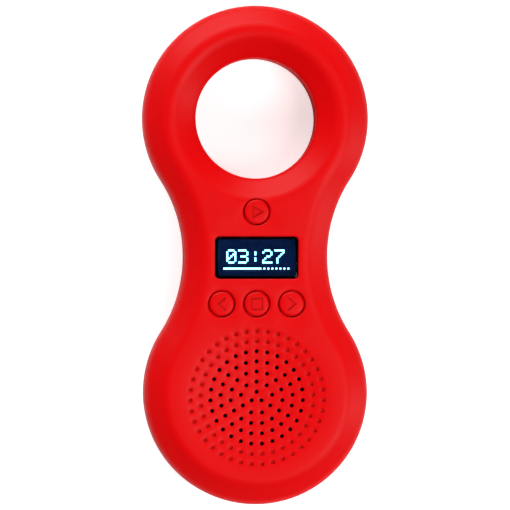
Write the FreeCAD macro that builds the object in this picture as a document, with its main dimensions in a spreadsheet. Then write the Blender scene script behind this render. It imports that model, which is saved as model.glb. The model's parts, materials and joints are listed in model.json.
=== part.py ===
import FreeCAD, Part
import math
import os
import re
import Sketcher
from FreeCAD import Placement, Rotation, Vector

# Audio story player: a figure-eight housing with a ring handle, a small screen,
# four push buttons and a round speaker grille. It lies on its back: X runs across,
# Y runs up the object towards the ring, Z comes out of the front face.
# The origin is the middle of the back face. All sizes are in millimetres.

HOUSING_SIZES = {
    "thickness": 24.0,
    "front_depth": 12.0,
    "wall": 2.0,
    "ring_radius": 34.0,
    "ring_offset": 41.0,
    "body_radius": 33.7,
    "body_offset": 41.3,
    "waist_radius": 42.0,
    "hole_radius": 18.0,
    "bevel_width": 6.3,
    "bevel_height": 4.4,
    "crown_set": 1.2,
    "shoulder_set": 1.6,
    "back_bevel": 2.5,
    "tongue_height": 1.2,
    "tongue_inset": 1.1,
    "tongue_gap": 0.1,
    "over_cut": 1.0,
    "boss_radius": 3.0,
    "post_radius": 3.5,
    "screw_ring_angle": 45.0,
    "screw_ring_inset": 8.0,
    "screw_body_angle": 55.0,
    "screw_body_inset": 8.2,
}

SCREW_SIZES = {
    "screw_radius": 1.0,
    "screw_length": 10.0,
    "screw_head_radius": 2.1,
    "screw_head_height": 1.5,
    "screw_grip": 5.0,
    "screw_gap": 0.05,
    "screw_clearance": 0.15,
    "counterbore_gap": 0.4,
    "board_screw_radius": 0.8,
    "board_screw_length": 5.0,
    "board_screw_head_radius": 1.5,
    "board_screw_head_height": 0.9,
    "board_boss_radius": 2.0,
    "board_screw_inset": 2.0,
    "board_screw_low": 19.0,
    "board_screw_high": 14.5,
}

SCREEN_SIZES = {
    "window_width": 25.0,
    "window_height": 12.7,
    "window_corner": 1.5,
    "window_offset": 0.8,
    "window_recess": 1.2,
    "window_ledge": 1.0,
    "lens_gap": 0.1,
    "lens_sink": 0.2,
    "lens_tape_thickness": 0.15,
    "panel_width": 26.7,
    "panel_height": 17.0,
    "panel_thickness": 1.4,
    "gasket_thickness": 0.5,
    "gasket_width": 1.2,
    "holder_wall": 1.0,
    "ribbon_width": 12.0,
    "ribbon_thickness": 0.15,
    "ribbon_gap": 0.5,
    "ribbon_foot": 0.9,
    "ribbon_rise": 0.2,
}

BUTTON_SIZES = {
    "cap_radius": 3.7,
    "cap_gap": 0.4,
    "cap_proud": 0.2,
    "button_travel": 0.4,
    "flange_radius": 4.7,
    "flange_height": 0.9,
    "flange_gap": 0.1,
    "flange_side_gap": 0.2,
    "flange_seat_depth": 3.0,
    "stem_radius": 1.4,
    "play_offset": 12.9,
    "row_offset": 14.6,
    "row_pitch": 10.45,
    "switch_side": 6.0,
    "switch_height": 3.3,
    "switch_cover": 0.2,
    "plunger_radius": 1.7,
    "plunger_gap": 0.05,
    "plunger_rise": 0.9,
    "plunger_depth": 0.6,
}

GRILLE_SIZES = {
    "grille_offset": 42.6,
    "dish_radius": 21.25,
    "dish_depth": 0.8,
    "dish_rim": 0.5,
    "grille_wall": 1.6,
    "grille_hole_radius": 0.6,
    "grille_pitch": 3.035,
    "grille_first_ring": 1.7,
    "seat_width": 6.2,
    "seat_height": 1.0,
    "collar_gap": 0.3,
    "collar_wall": 1.8,
    "collar_depth": 3.0,
    "lead_notch_width": 16.0,
    "lead_notch_shift": 0.5,
}

SPEAKER_SIZES = {
    "speaker_radius": 19.5,
    "rim_width": 3.2,
    "rim_thickness": 0.5,
    "speaker_gasket_thickness": 0.5,
    "basket_depth": 6.0,
    "yoke_radius": 9.0,
    "yoke_wall": 0.9,
    "yoke_height": 4.6,
    "yoke_lap": 0.4,
    "pole_radius": 7.0,
    "pole_height": 1.0,
    "magnet_set": 0.4,
    "coil_wall": 0.4,
    "coil_gap": 0.25,
    "coil_height": 3.4,
    "coil_sink": 0.2,
    "cone_thickness": 0.35,
    "cone_radius": 13.6,
    "diaphragm_sink": 1.0,
    "dust_cap_rise": 1.8,
    "terminal_width": 7.0,
    "terminal_length": 3.0,
    "terminal_thickness": 0.8,
    "terminal_lead_shift": 1.5,
}

BOARD_SIZES = {
    "board_thickness": 1.2,
    "board_side_gap": 3.9,
    "board_bottom": 21.0,
    "board_top": 18.6,
    "board_corner": 3.0,
    "jack_length": 12.0,
    "jack_width": 6.0,
    "jack_height": 5.0,
    "jack_collar_radius": 2.9,
    "jack_bore_radius": 1.78,
    "jack_bore_length": 13.0,
    "port_gap": 0.2,
    "port_wall_gap": 0.8,
    "usb_width": 7.5,
    "usb_height": 2.6,
    "usb_length": 5.6,
    "usb_skin": 0.3,
    "usb_tongue_width": 3.8,
    "usb_tongue_thickness": 0.7,
    "usb_tongue_set": 0.2,
    "connector_width": 4.4,
    "connector_length": 4.0,
    "connector_height": 3.2,
    "connector_across": 5.0,
    "connector_offset": 9.5,
    "lead_radius": 0.45,
    "lead_pitch": 1.25,
    "lead_run": 4.0,
}

BATTERY_SIZES = {
    "battery_width": 30.0,
    "battery_length": 32.0,
    "battery_thickness": 5.0,
    "battery_offset": 41.0,
    "battery_corner": 1.5,
    "battery_board_width": 18.0,
    "battery_board_length": 2.6,
    "battery_board_thickness": 0.8,
    "foam_thickness": 0.5,
    "foam_margin": 2.0,
    "tray_wall": 1.0,
    "tray_height": 3.5,
    "tray_length": 6.0,
    "tray_gap": 0.4,
}

DERIVED_SIZES = {
    "to_ring": "ring_radius + waist_radius",
    "to_body": "body_radius + waist_radius",
    "waist_y": "(to_body^2 - to_ring^2 + ring_offset^2 - body_offset^2)"
               " / (2 * (ring_offset + body_offset))",
    "waist_x": "sqrt(to_body^2 - (waist_y + body_offset)^2)",
    "ring_turn": "atan((ring_offset - waist_y) / waist_x)",
    "body_turn": "atan((body_offset + waist_y) / waist_x)",
    "waist_half_width": "waist_x - waist_radius",
    "bevel_angle": "atan(bevel_height / bevel_width)",
    "edge_band": "bevel_width + crown_set",
    "inner_front": "thickness - wall",
    "parting_height": "thickness - front_depth",
    "screw_seat_height": "parting_height - screw_grip",
    "collar_inner_radius": "speaker_radius + collar_gap",
    "seat_outer_radius": "collar_inner_radius + collar_wall",
    "seat_inner_radius": "seat_outer_radius - seat_width",
    "board_width": "2 * (waist_half_width - board_side_gap)",
    "board_screw_across": "board_width / 2 - board_screw_inset",
    "platform_height": "thickness - dish_depth - grille_wall",
    "seat_face": "platform_height - seat_height",
    "board_under": "parting_height + jack_height / 2",
    "board_face": "board_under + board_thickness",
    "lens_face": "thickness - lens_sink",
    "ledge_face": "thickness - window_recess",
    "panel_face": "inner_front - gasket_thickness",
    "panel_under": "panel_face - panel_thickness",
    "switch_face": "board_face + switch_height",
    "plunger_face": "switch_face + plunger_rise",
    "flange_face": "inner_front - flange_gap",
    "cap_face": "thickness + cap_proud",
    "rim_face": "seat_face - speaker_gasket_thickness",
    "basket_under": "rim_face - rim_thickness - basket_depth",
    "yoke_face": "basket_under + yoke_lap",
    "yoke_under": "yoke_face - yoke_height",
    "yoke_inner_radius": "yoke_radius - yoke_wall",
    "coil_radius": "pole_radius + coil_gap",
    "coil_under": "yoke_face - coil_height / 2 - coil_sink",
    "coil_face": "coil_under + coil_height",
    "basket_inner_radius": "speaker_radius - rim_width",
    "foam_under": "wall",
    "battery_under": "wall + foam_thickness",
    "battery_end": "battery_length / 2 - battery_offset",
    "port_reach": "waist_half_width - port_wall_gap",
    "lead_height": "board_under - connector_height / 2",
    "screw_ring_radius": "ring_radius - screw_ring_inset",
    "screw_body_radius": "body_radius - screw_body_inset",
    "screw_ring_x": "screw_ring_radius * cos(screw_ring_angle * 1 deg)",
    "screw_ring_y": "screw_ring_radius * sin(screw_ring_angle * 1 deg)",
    "screw_body_x": "screw_body_radius * cos(screw_body_angle * 1 deg)",
    "screw_body_y": "screw_body_radius * sin(screw_body_angle * 1 deg)",
}

GRILLE_RINGS = 7
GRILLE_HOLE_SIDES = 6

doc = FreeCAD.newDocument("StoryPlayer")
sheet = doc.addObject("Spreadsheet::Sheet", "Sizes")
aliases = set()
sub_parts = []


def fill_sheet(values):
    """Write each named size into its own row of the sheet."""
    for alias, value in values.items():
        row = len(aliases) + 1
        sheet.set(f"A{row}", alias.replace("_", " "))
        sheet.set(f"B{row}", f"={value}" if isinstance(value, str) else str(value))
        sheet.setAlias(f"B{row}", alias)
        aliases.add(alias)


def bound(expression):
    """An expression in plain size names, written so that it reads them from the sheet."""
    return re.sub(r"[a-z][a-z_]*", lambda word: f"Sizes.{word[0]}" if word[0] in aliases else word[0],
                  str(expression))


def evaluate(expression):
    """The present value of an expression in plain size names."""
    value = sheet.evalExpression(bound(expression))
    return float(getattr(value, "Value", value))


def bind(item, **expressions):
    """Tie an object's own properties to the sheet."""
    for name, expression in expressions.items():
        item.setExpression(name, bound(expression))


def place(item, x="0", y="0", z="0"):
    for axis, expression in (("x", x), ("y", y), ("z", z)):
        item.setExpression(f"Placement.Base.{axis}", bound(expression))


def keep(item, label):
    """Name a finished sub-part; its label is the name of its file."""
    item.Label = label
    sub_parts.append(item)
    return item


# Sketches and features

def new_body(name):
    return doc.addObject("PartDesign::Body", name)


def new_sketch(body, name, role="XY_Plane", along="0", offset="0"):
    """A sketch parallel to an origin plane of its own body, moved along its X and its normal."""
    plane = next(item for item in body.Origin.OriginFeatures if item.Role == role)
    sketch = body.newObject("Sketcher::SketchObject", f"{body.Name}_{name}")
    sketch.AttachmentSupport = (plane, [""])
    sketch.MapMode = "FlatFace"
    sketch.setExpression("AttachmentOffset.Base.x", bound(along))
    sketch.setExpression("AttachmentOffset.Base.z", bound(offset))
    return sketch


def tie(sketch, expression, *constraint):
    """Add a dimension to the sketch and bind it to the sheet."""
    index = sketch.addConstraint(Sketcher.Constraint(*constraint, evaluate(expression)))
    sketch.setExpression(f"Constraints[{index}]", bound(expression))


def tie_point(sketch, geometry, point, x, y):
    """Place a point of the sketch by two expressions; a plain 0 puts it on the axis."""
    if x == "0":
        sketch.addConstraint(Sketcher.Constraint("PointOnObject", geometry, point, -2))
    else:
        tie(sketch, x, "DistanceX", -1, 1, geometry, point)
    if y == "0":
        sketch.addConstraint(Sketcher.Constraint("PointOnObject", geometry, point, -1))
    else:
        tie(sketch, y, "DistanceY", -1, 1, geometry, point)


def add_circle(sketch, x, y, radius):
    centre = Vector(evaluate(x), evaluate(y), 0)
    circle = sketch.addGeometry(Part.Circle(centre, Vector(0, 0, 1), evaluate(radius)), False)
    tie_point(sketch, circle, 3, x, y)
    tie(sketch, radius, "Radius", circle)


def add_polygon(sketch, points):
    """A closed outline of straight lines through points given as expressions."""
    corners = [Vector(evaluate(x), evaluate(y), 0) for x, y in points]
    lines = [sketch.addGeometry(Part.LineSegment(start, end), False)
             for start, end in zip(corners, corners[1:] + corners[:1])]
    for line, following, (x, y) in zip(lines, lines[1:] + lines[:1], points[1:] + points[:1]):
        sketch.addConstraint(Sketcher.Constraint("Coincident", line, 2, following, 1))
        tie_point(sketch, following, 1, x, y)


def add_rectangle(sketch, x, y, width, height):
    left, right = f"({x}) - ({width}) / 2", f"({x}) + ({width}) / 2"
    low, high = f"({y}) - ({height}) / 2", f"({y}) + ({height}) / 2"
    add_polygon(sketch, [(left, low), (right, low), (right, high), (left, high)])


def add_arc(sketch, x, y, radius, start, end):
    circle = Part.Circle(Vector(x, y, 0), Vector(0, 0, 1), radius)
    return sketch.addGeometry(Part.ArcOfCircle(circle, start, end), False)


def add_rounded_rectangle(sketch, x, y, width, height, corner):
    """A rectangle whose four corners are arcs, tangent to the sides."""
    radius = evaluate(corner)
    quarter = math.pi / 2
    arcs, ends = [], []
    for number, (across, up) in enumerate((("+", "+"), ("-", "+"), ("-", "-"), ("+", "-"))):
        centre_x = f"({x}) {across} (({width}) / 2 - ({corner}))"
        centre_y = f"({y}) {up} (({height}) / 2 - ({corner}))"
        middle = Vector(evaluate(centre_x), evaluate(centre_y), 0)
        angles = (number * quarter, (number + 1) * quarter)
        arcs.append(add_arc(sketch, middle.x, middle.y, radius, *angles))
        ends.append([middle + Vector(math.cos(angle), math.sin(angle), 0) * radius for angle in angles])
        tie_point(sketch, arcs[-1], 3, centre_x, centre_y)
        tie(sketch, corner, "Radius", arcs[-1])
    for number, arc in enumerate(arcs):
        following = (number + 1) % len(arcs)
        side = sketch.addGeometry(Part.LineSegment(ends[number][1], ends[following][0]), False)
        sketch.addConstraint(Sketcher.Constraint("Tangent", arc, 2, side, 1))
        sketch.addConstraint(Sketcher.Constraint("Tangent", side, 2, arcs[following], 1))


def add_outline(sketch, inset):
    """The figure-eight: two round lobes joined by tangent waist arcs, drawn in by the inset."""
    ring_turn, body_turn = (math.radians(evaluate(name)) for name in ("ring_turn", "body_turn"))
    waist_x, waist_y = evaluate("waist_x"), evaluate("waist_y")
    ring_radius, body_radius = f"ring_radius - ({inset})", f"body_radius - ({inset})"
    waist_radius = f"waist_radius + ({inset})"
    ring = add_arc(sketch, 0, evaluate("ring_offset"), evaluate(ring_radius),
                   -ring_turn, math.pi + ring_turn)
    left = add_arc(sketch, -waist_x, waist_y, evaluate(waist_radius), -body_turn, ring_turn)
    body = add_arc(sketch, 0, -evaluate("body_offset"), evaluate(body_radius),
                   math.pi - body_turn, 2 * math.pi + body_turn)
    right = add_arc(sketch, waist_x, waist_y, evaluate(waist_radius),
                    math.pi - ring_turn, math.pi + body_turn)
    for first, first_end, second, second_end in (
            (ring, 2, left, 2), (left, 1, body, 1), (body, 2, right, 2), (right, 1, ring, 1)):
        sketch.addConstraint(Sketcher.Constraint("Tangent", first, first_end, second, second_end))
    tie_point(sketch, ring, 3, "0", "ring_offset")
    tie_point(sketch, body, 3, "0", "-body_offset")
    tie(sketch, ring_radius, "Radius", ring)
    tie(sketch, body_radius, "Radius", body)
    tie(sketch, waist_radius, "Radius", left)
    tie(sketch, waist_radius, "Radius", right)


def pad(body, sketch, length, reverse=False):
    feature = body.newObject("PartDesign::Pad", f"{sketch.Name}_pad")
    feature.Profile = sketch
    feature.Reversed = reverse
    bind(feature, Length=length)
    doc.recompute()
    return feature


def pocket(body, sketch, length, reverse=False, may_miss=False):
    """Cut a sketch into the body; only a pocket that may miss is let through if it cuts nothing."""
    before = body.Shape.Volume
    feature = body.newObject("PartDesign::Pocket", f"{sketch.Name}_pocket")
    feature.Profile = sketch
    feature.Reversed = reverse
    bind(feature, Length=length)
    doc.recompute()
    if not may_miss and body.Shape.Volume >= before:
        raise RuntimeError(f"{feature.Name} cuts nothing")
    return feature


def revolve(body, sketch, angle=None, second_angle=None, kind="PartDesign::Revolution"):
    """Turn a profile about the sketch's own vertical axis."""
    feature = body.newObject(kind, f"{sketch.Name}_turn")
    feature.Profile = sketch
    feature.ReferenceAxis = (sketch, ["V_Axis"])
    if second_angle:
        feature.Type = "TwoAngles"
        bind(feature, Angle=angle, Angle2=second_angle)
    elif angle:
        feature.Midplane = True
        bind(feature, Angle=angle)
    doc.recompute()
    return feature


def turned(label, points, x="0", y="0"):
    """A round sub-part turned about an upright axis at x, y from a closed profile."""
    body = new_body(label)
    sketch = new_sketch(body, "profile", "XZ_Plane")
    add_polygon(sketch, points)
    revolve(body, sketch)
    place(body, x, y)
    return body


# Plain solids

def box(name, x, y, z, width, length, height):
    """A block centred on x and y that stands on z."""
    item = doc.addObject("Part::Box", name)
    bind(item, Length=width, Width=length, Height=height)
    place(item, f"({x}) - ({width}) / 2", f"({y}) - ({length}) / 2", z)
    return item


def cylinder(name, x, y, z, radius, height):
    item = doc.addObject("Part::Cylinder", name)
    bind(item, Radius=radius, Height=height)
    place(item, x, y, z)
    return item


def cross_cylinder(name, x, y, z, radius, length):
    """A cylinder that lies along X from its start at x."""
    item = cylinder(name, x, y, z, radius, length)
    item.Placement = Placement(item.Placement.Base, Rotation(Vector(0, 1, 0), 90))
    return item


def cut(name, base, tool):
    item = doc.addObject("Part::Cut", name)
    item.Base, item.Tool = base, tool
    return item


def fuse(name, *pieces):
    item = doc.addObject("Part::MultiFuse", name)
    item.Shapes = list(pieces)
    item.Refine = True
    return item


def group(name, pieces):
    """Separate solids that share one node."""
    item = doc.addObject("Part::Compound", name)
    item.Links = list(pieces)
    return item


# Places that several sub-parts share

def shell_screw_places():
    places = [("screw_ring_x", "ring_offset + screw_ring_y"), ("screw_ring_x", "ring_offset - screw_ring_y"),
              ("screw_body_x", "-body_offset - screw_body_y")]
    return places + [(f"-{x}", y) for x, y in places]


def board_screw_places():
    return [(f"{side}board_screw_across", y) for side in ("", "-")
            for y in ("-board_screw_low", "board_screw_high")]


BUTTONS = {
    "play": ("0", "play_offset"),
    "previous": ("-row_pitch", "-row_offset"),
    "stop": ("0", "-row_offset"),
    "next": ("row_pitch", "-row_offset"),
}


# Housing

def add_edge_band(body, name, section, radius, side, role, sign="", along="0", offset="0",
                  angle=None, second_angle=None):
    """Turn the wall section about one centre; side is - on a rounded lobe and + on a hollow curve."""
    points = [(f"{sign}(({radius}) {side} ({inset}))", height) for inset, height in section]
    sketch = new_sketch(body, name, role, along, offset)
    add_polygon(sketch, points)
    return revolve(body, sketch, angle, second_angle)


def add_housing_half(body, section, band, face):
    """One half of the housing: a flat web inside a wall that follows the outline and the hole."""
    web = new_sketch(body, "web", offset=face)
    add_outline(web, band)
    add_circle(web, "0", "ring_offset", f"hole_radius + {band}")
    pad(body, web, "wall")
    add_edge_band(body, "ring", section, "ring_radius", "-", "YZ_Plane", along="ring_offset",
                  angle="180 deg + 2 * ring_turn")
    add_edge_band(body, "lobe", section, "body_radius", "-", "YZ_Plane", "-", along="-body_offset",
                  angle="180 deg + 2 * body_turn")
    add_edge_band(body, "waist_right", section, "waist_radius", "+", "XZ_Plane", "-", along="waist_x",
                  offset="-waist_y", angle="body_turn", second_angle="ring_turn")
    add_edge_band(body, "waist_left", section, "waist_radius", "+", "XZ_Plane", along="-waist_x",
                  offset="-waist_y", angle="ring_turn", second_angle="body_turn")
    add_edge_band(body, "hole", section, "hole_radius", "+", "YZ_Plane", along="ring_offset")


def make_front_shell():
    """Front half: bevelled edges, dished grille, screen recess, button holes, bosses and tongue."""
    body = new_body("front_moulding")
    inner_corner = "wall * tan(45 deg - bevel_angle / 2)"
    section = [
        ("0", "parting_height"),
        ("0", "thickness - bevel_height - shoulder_set"),
        ("shoulder_set * cos(bevel_angle)", "thickness - bevel_height + shoulder_set * sin(bevel_angle)"),
        ("bevel_width - crown_set * cos(bevel_angle)", "thickness - crown_set * sin(bevel_angle)"),
        ("edge_band", "thickness"),
        ("edge_band", "inner_front"),
        ("bevel_width + wall * tan(bevel_angle / 2)", "inner_front"),
        ("wall", f"thickness - bevel_height - {inner_corner}"),
        ("wall", "parting_height - tongue_height"),
        ("tongue_inset", "parting_height - tongue_height"),
        ("tongue_inset", "parting_height"),
    ]
    add_housing_half(body, section, "edge_band", "inner_front")

    bosses = new_sketch(body, "bosses", offset="parting_height")
    for x, y in shell_screw_places():
        add_circle(bosses, x, y, "boss_radius")
    pad(body, bosses, "thickness - wall / 2 - parting_height")
    board_bosses = new_sketch(body, "board_bosses", offset="board_face")
    for x, y in board_screw_places():
        add_circle(board_bosses, x, y, "board_boss_radius")
    pad(body, board_bosses, "thickness - wall / 2 - board_face")

    platform = new_sketch(body, "platform", offset="platform_height")
    add_circle(platform, "0", "-grille_offset", "seat_outer_radius")
    pad(body, platform, "thickness - wall / 2 - platform_height")
    dish = new_sketch(body, "dish", "YZ_Plane", along="-grille_offset")
    add_polygon(dish, [("0", "thickness - dish_depth"), ("dish_radius - dish_rim", "thickness - dish_depth"),
                       ("dish_radius", "thickness"), ("0", "thickness")])
    revolve(body, dish, kind="PartDesign::Groove")

    seat = new_sketch(body, "speaker_seat", offset="seat_face")
    add_circle(seat, "0", "-grille_offset", "seat_outer_radius")
    add_circle(seat, "0", "-grille_offset", "seat_inner_radius")
    pad(body, seat, "seat_height")
    collar = new_sketch(body, "speaker_collar", offset="seat_face")
    add_circle(collar, "0", "-grille_offset", "seat_outer_radius")
    add_circle(collar, "0", "-grille_offset", "collar_inner_radius")
    pad(body, collar, "collar_depth", reverse=True)
    notch = new_sketch(body, "lead_notch", offset="platform_height")
    add_rectangle(notch, "0",
                  "(seat_inner_radius + seat_outer_radius) / 2 - grille_offset + lead_notch_shift",
                  "lead_notch_width", "seat_outer_radius - seat_inner_radius + 2 * over_cut")
    pocket(body, notch, "seat_height + collar_depth + over_cut")

    recess = new_sketch(body, "window_recess", offset="thickness")
    add_rounded_rectangle(recess, "0", "-window_offset", "window_width", "window_height", "window_corner")
    pocket(body, recess, "window_recess")
    opening = new_sketch(body, "window_opening", offset="ledge_face")
    add_rounded_rectangle(opening, "0", "-window_offset", "window_width - 2 * window_ledge",
                          "window_height - 2 * window_ledge", "window_corner - window_ledge")
    pocket(body, opening, "wall")

    holes = new_sketch(body, "button_holes", offset="thickness")
    for x, y in BUTTONS.values():
        add_circle(holes, x, y, "cap_radius + cap_gap")
    pocket(body, holes, "wall + over_cut")
    seats = new_sketch(body, "button_seats", offset="inner_front")
    for x, y in BUTTONS.values():
        add_circle(seats, x, y, "flange_radius + flange_side_gap")
    pocket(body, seats, "flange_seat_depth", may_miss=True)
    pilots = new_sketch(body, "screw_pilots", offset="parting_height")
    for x, y in shell_screw_places():
        add_circle(pilots, x, y, "screw_radius + screw_gap")
    pocket(body, pilots, "screw_seat_height + screw_length + over_cut - parting_height", reverse=True)
    board_pilots = new_sketch(body, "board_pilots", offset="board_face")
    for x, y in board_screw_places():
        add_circle(board_pilots, x, y, "board_screw_radius + screw_gap")
    pocket(body, board_pilots, "board_screw_length", reverse=True)
    cut_ports(body)
    keep(cut("front_shell", body, make_grille_holes()), "front_shell")


def make_grille_holes():
    """Rings of small few-sided holes; the two outer rings end on the speaker seat."""
    holes = []
    for ring in range(GRILLE_RINGS):
        count = 3 + 6 * ring
        radius = f"(grille_first_ring + {ring} * grille_pitch)"
        for turn in range(count):
            angle = f"{90 + 360 * turn / count} deg"
            hole = doc.addObject("Part::Prism", f"grille_hole_{ring}_{turn}")
            hole.Polygon = GRILLE_HOLE_SIDES
            bind(hole, Circumradius="grille_hole_radius", Height="thickness - platform_height")
            place(hole, f"{radius} * cos({angle})", f"{radius} * sin({angle}) - grille_offset",
                  "platform_height")
            holes.append(hole)
    return group("grille_holes", holes)


def cut_ports(body):
    """The headphone opening in the right wall and the charging opening in the left wall."""
    jack = new_sketch(body, "jack_port", "YZ_Plane", offset="waist_half_width - 2 * wall")
    add_circle(jack, "0", "parting_height", "jack_collar_radius + port_gap")
    pocket(body, jack, "3 * wall", reverse=True)
    usb = new_sketch(body, "usb_port", "YZ_Plane", offset="2 * wall - waist_half_width")
    add_rectangle(usb, "0", "board_under - usb_height / 2", "usb_width + 2 * port_gap",
                  "usb_height + 2 * port_gap")
    pocket(body, usb, "3 * wall")


def make_rear_shell():
    """Rear half: flat back, small bevel, screw posts with counterbores and a battery tray."""
    body = new_body("rear_shell")
    section = [
        ("0", "parting_height"),
        ("0", "back_bevel"),
        ("back_bevel", "0"),
        ("back_bevel + wall", "0"),
        ("back_bevel + wall", "wall"),
        ("wall", "wall"),
        ("wall", "parting_height - tongue_height - tongue_gap"),
        ("tongue_inset - tongue_gap", "parting_height - tongue_height - tongue_gap"),
        ("tongue_inset - tongue_gap", "parting_height"),
    ]
    add_housing_half(body, section, "back_bevel + wall", "0")
    posts = new_sketch(body, "posts", offset="wall / 2")
    for x, y in shell_screw_places():
        add_circle(posts, x, y, "post_radius")
    pad(body, posts, "parting_height - wall / 2")
    tray = new_sketch(body, "tray", offset="wall / 2")
    for across in ("-", ""):
        for up in ("-", "+"):
            add_tray_corner(tray, across, up)
    pad(body, tray, "wall / 2 + tray_height")
    bores = new_sketch(body, "counterbores", offset="0")
    for x, y in shell_screw_places():
        add_circle(bores, x, y, "screw_head_radius + counterbore_gap")
    pocket(body, bores, "screw_seat_height", reverse=True)
    clearance = new_sketch(body, "screw_holes", offset="0")
    for x, y in shell_screw_places():
        add_circle(clearance, x, y, "screw_radius + screw_clearance")
    pocket(body, clearance, "parting_height + over_cut", reverse=True)
    cut_ports(body)
    return keep(body, "rear_shell")


def add_tray_corner(sketch, across, up):
    """An L-shaped rib round one corner of the battery."""
    x = "(battery_width / 2 + tray_gap)"
    y = "(battery_length / 2 + tray_gap)"
    corner = [(x, y), (f"{x} - tray_length", y), (f"{x} - tray_length", f"{y} + tray_wall"),
              (f"{x} + tray_wall", f"{y} + tray_wall"), (f"{x} + tray_wall", f"{y} - tray_length"),
              (x, f"{y} - tray_length")]
    add_polygon(sketch, [(f"{across}({a})", f"-battery_offset {up} ({b})") for a, b in corner])


def make_shell_screws():
    screws = []
    for index, (x, y) in enumerate(shell_screw_places(), 1):
        head = cylinder(f"screw_head_{index}", x, y, "screw_seat_height - screw_head_height",
                        "screw_head_radius", "screw_head_height")
        shank = cylinder(f"screw_shank_{index}", x, y, "screw_seat_height - screw_head_height",
                         "screw_radius", "screw_length + screw_head_height")
        screws.append(fuse(f"shell_screw_{index}", head, shank))
    keep(group("shell_screws", screws), "shell_screws")


# Screen

def frame_block(name, x, y, z, width, length, height, border):
    """A rectangular frame: a block with a smaller block cut out of it."""
    outer = box(f"{name}_outer", x, y, z, width, length, height)
    inner = box(f"{name}_inner", x, y, f"({z}) - over_cut", f"({width}) - 2 * ({border})",
                f"({length}) - 2 * ({border})", f"({height}) + 2 * over_cut")
    return cut(name, outer, inner)


def make_screen():
    """Lens taped onto its ledge, display panel and gasket behind it, holder and ribbon."""
    y = "-window_offset"
    lens_width, lens_height = "window_width - 2 * lens_gap", "window_height - 2 * lens_gap"
    lens = new_body("display_lens")
    sketch = new_sketch(lens, "outline", offset="ledge_face + lens_tape_thickness")
    add_rounded_rectangle(sketch, "0", y, lens_width, lens_height, "window_corner - lens_gap")
    pad(lens, sketch, "lens_face - ledge_face - lens_tape_thickness")
    keep(lens, "display_lens")
    tape = new_body("lens_tape")
    frame = new_sketch(tape, "frame", offset="ledge_face")
    add_rounded_rectangle(frame, "0", y, lens_width, lens_height, "window_corner - lens_gap")
    add_rounded_rectangle(frame, "0", y, "window_width - 2 * window_ledge",
                          "window_height - 2 * window_ledge", "window_corner - window_ledge")
    pad(tape, frame, "lens_tape_thickness")
    keep(tape, "lens_tape")
    keep(frame_block("display_gasket", "0", y, "panel_face", "panel_width", "panel_height",
                     "gasket_thickness", "gasket_width"), "display_gasket")
    keep(box("oled_panel", "0", y, "panel_under", "panel_width", "panel_height", "panel_thickness"),
         "oled_panel")
    walls = frame_block("holder_walls", "0", y, "board_face", "panel_width", "panel_height",
                        "panel_under - board_face", "holder_wall")
    rib = box("holder_rib", "0", y, "panel_under - holder_wall", "panel_width - holder_wall",
              "3 * holder_wall", "holder_wall")
    keep(fuse("display_holder", walls, rib), "display_holder")

    ribbon = new_body("display_ribbon")
    profile = new_sketch(ribbon, "profile", "YZ_Plane", offset="-ribbon_width / 2")
    edge = "(-window_offset - panel_height / 2)"
    near, far = f"({edge} - ribbon_gap)", f"({edge} - ribbon_gap - ribbon_thickness)"
    high, low = "(panel_under + ribbon_rise)", "board_face"
    add_polygon(profile, [
        (edge, high), (edge, f"{high} + ribbon_thickness"), (far, f"{high} + ribbon_thickness"),
        (far, f"{low} + ribbon_thickness"), (f"{far} - ribbon_foot", f"{low} + ribbon_thickness"),
        (f"{far} - ribbon_foot", low), (near, low), (near, high)])
    pad(ribbon, profile, "ribbon_width")
    keep(ribbon, "display_ribbon")


# Buttons and their switches

def make_buttons():
    bodies, covers = [], []
    for name, (x, y) in BUTTONS.items():
        flange_under = "flange_face - flange_height"
        keep(turned(f"button_{name}", [
            ("0", "plunger_face"), ("stem_radius", "plunger_face"), ("stem_radius", flange_under),
            ("flange_radius", flange_under), ("flange_radius", "flange_face"),
            ("cap_radius", "flange_face"), ("cap_radius", "cap_face"), ("0", "cap_face")], x, y),
            f"button_{name}")
        plunger_under = "plunger_face - plunger_rise - plunger_depth + button_travel"
        keep(cylinder(f"switch_plunger_{name}", x, y, plunger_under, "plunger_radius",
                      "plunger_rise + plunger_depth - button_travel"), f"switch_plunger_{name}")
        block = box(f"switch_block_{name}", x, y, "board_face", "switch_side", "switch_side",
                    "switch_height - switch_cover")
        well = cylinder(f"switch_well_{name}", x, y, "switch_face - plunger_depth",
                        "plunger_radius + plunger_gap", "plunger_depth + over_cut")
        bodies.append(cut(f"switch_body_{name}", block, well))
        plate = box(f"switch_plate_{name}", x, y, "switch_face - switch_cover", "switch_side",
                    "switch_side", "switch_cover")
        hole = cylinder(f"switch_hole_{name}", x, y, "switch_face - over_cut",
                        "plunger_radius + plunger_gap", "2 * over_cut")
        covers.append(cut(f"switch_cover_{name}", plate, hole))
    keep(group("switch_bodies", bodies), "switch_bodies")
    keep(group("switch_covers", covers), "switch_covers")


# Circuit board and what is soldered to it

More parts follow.
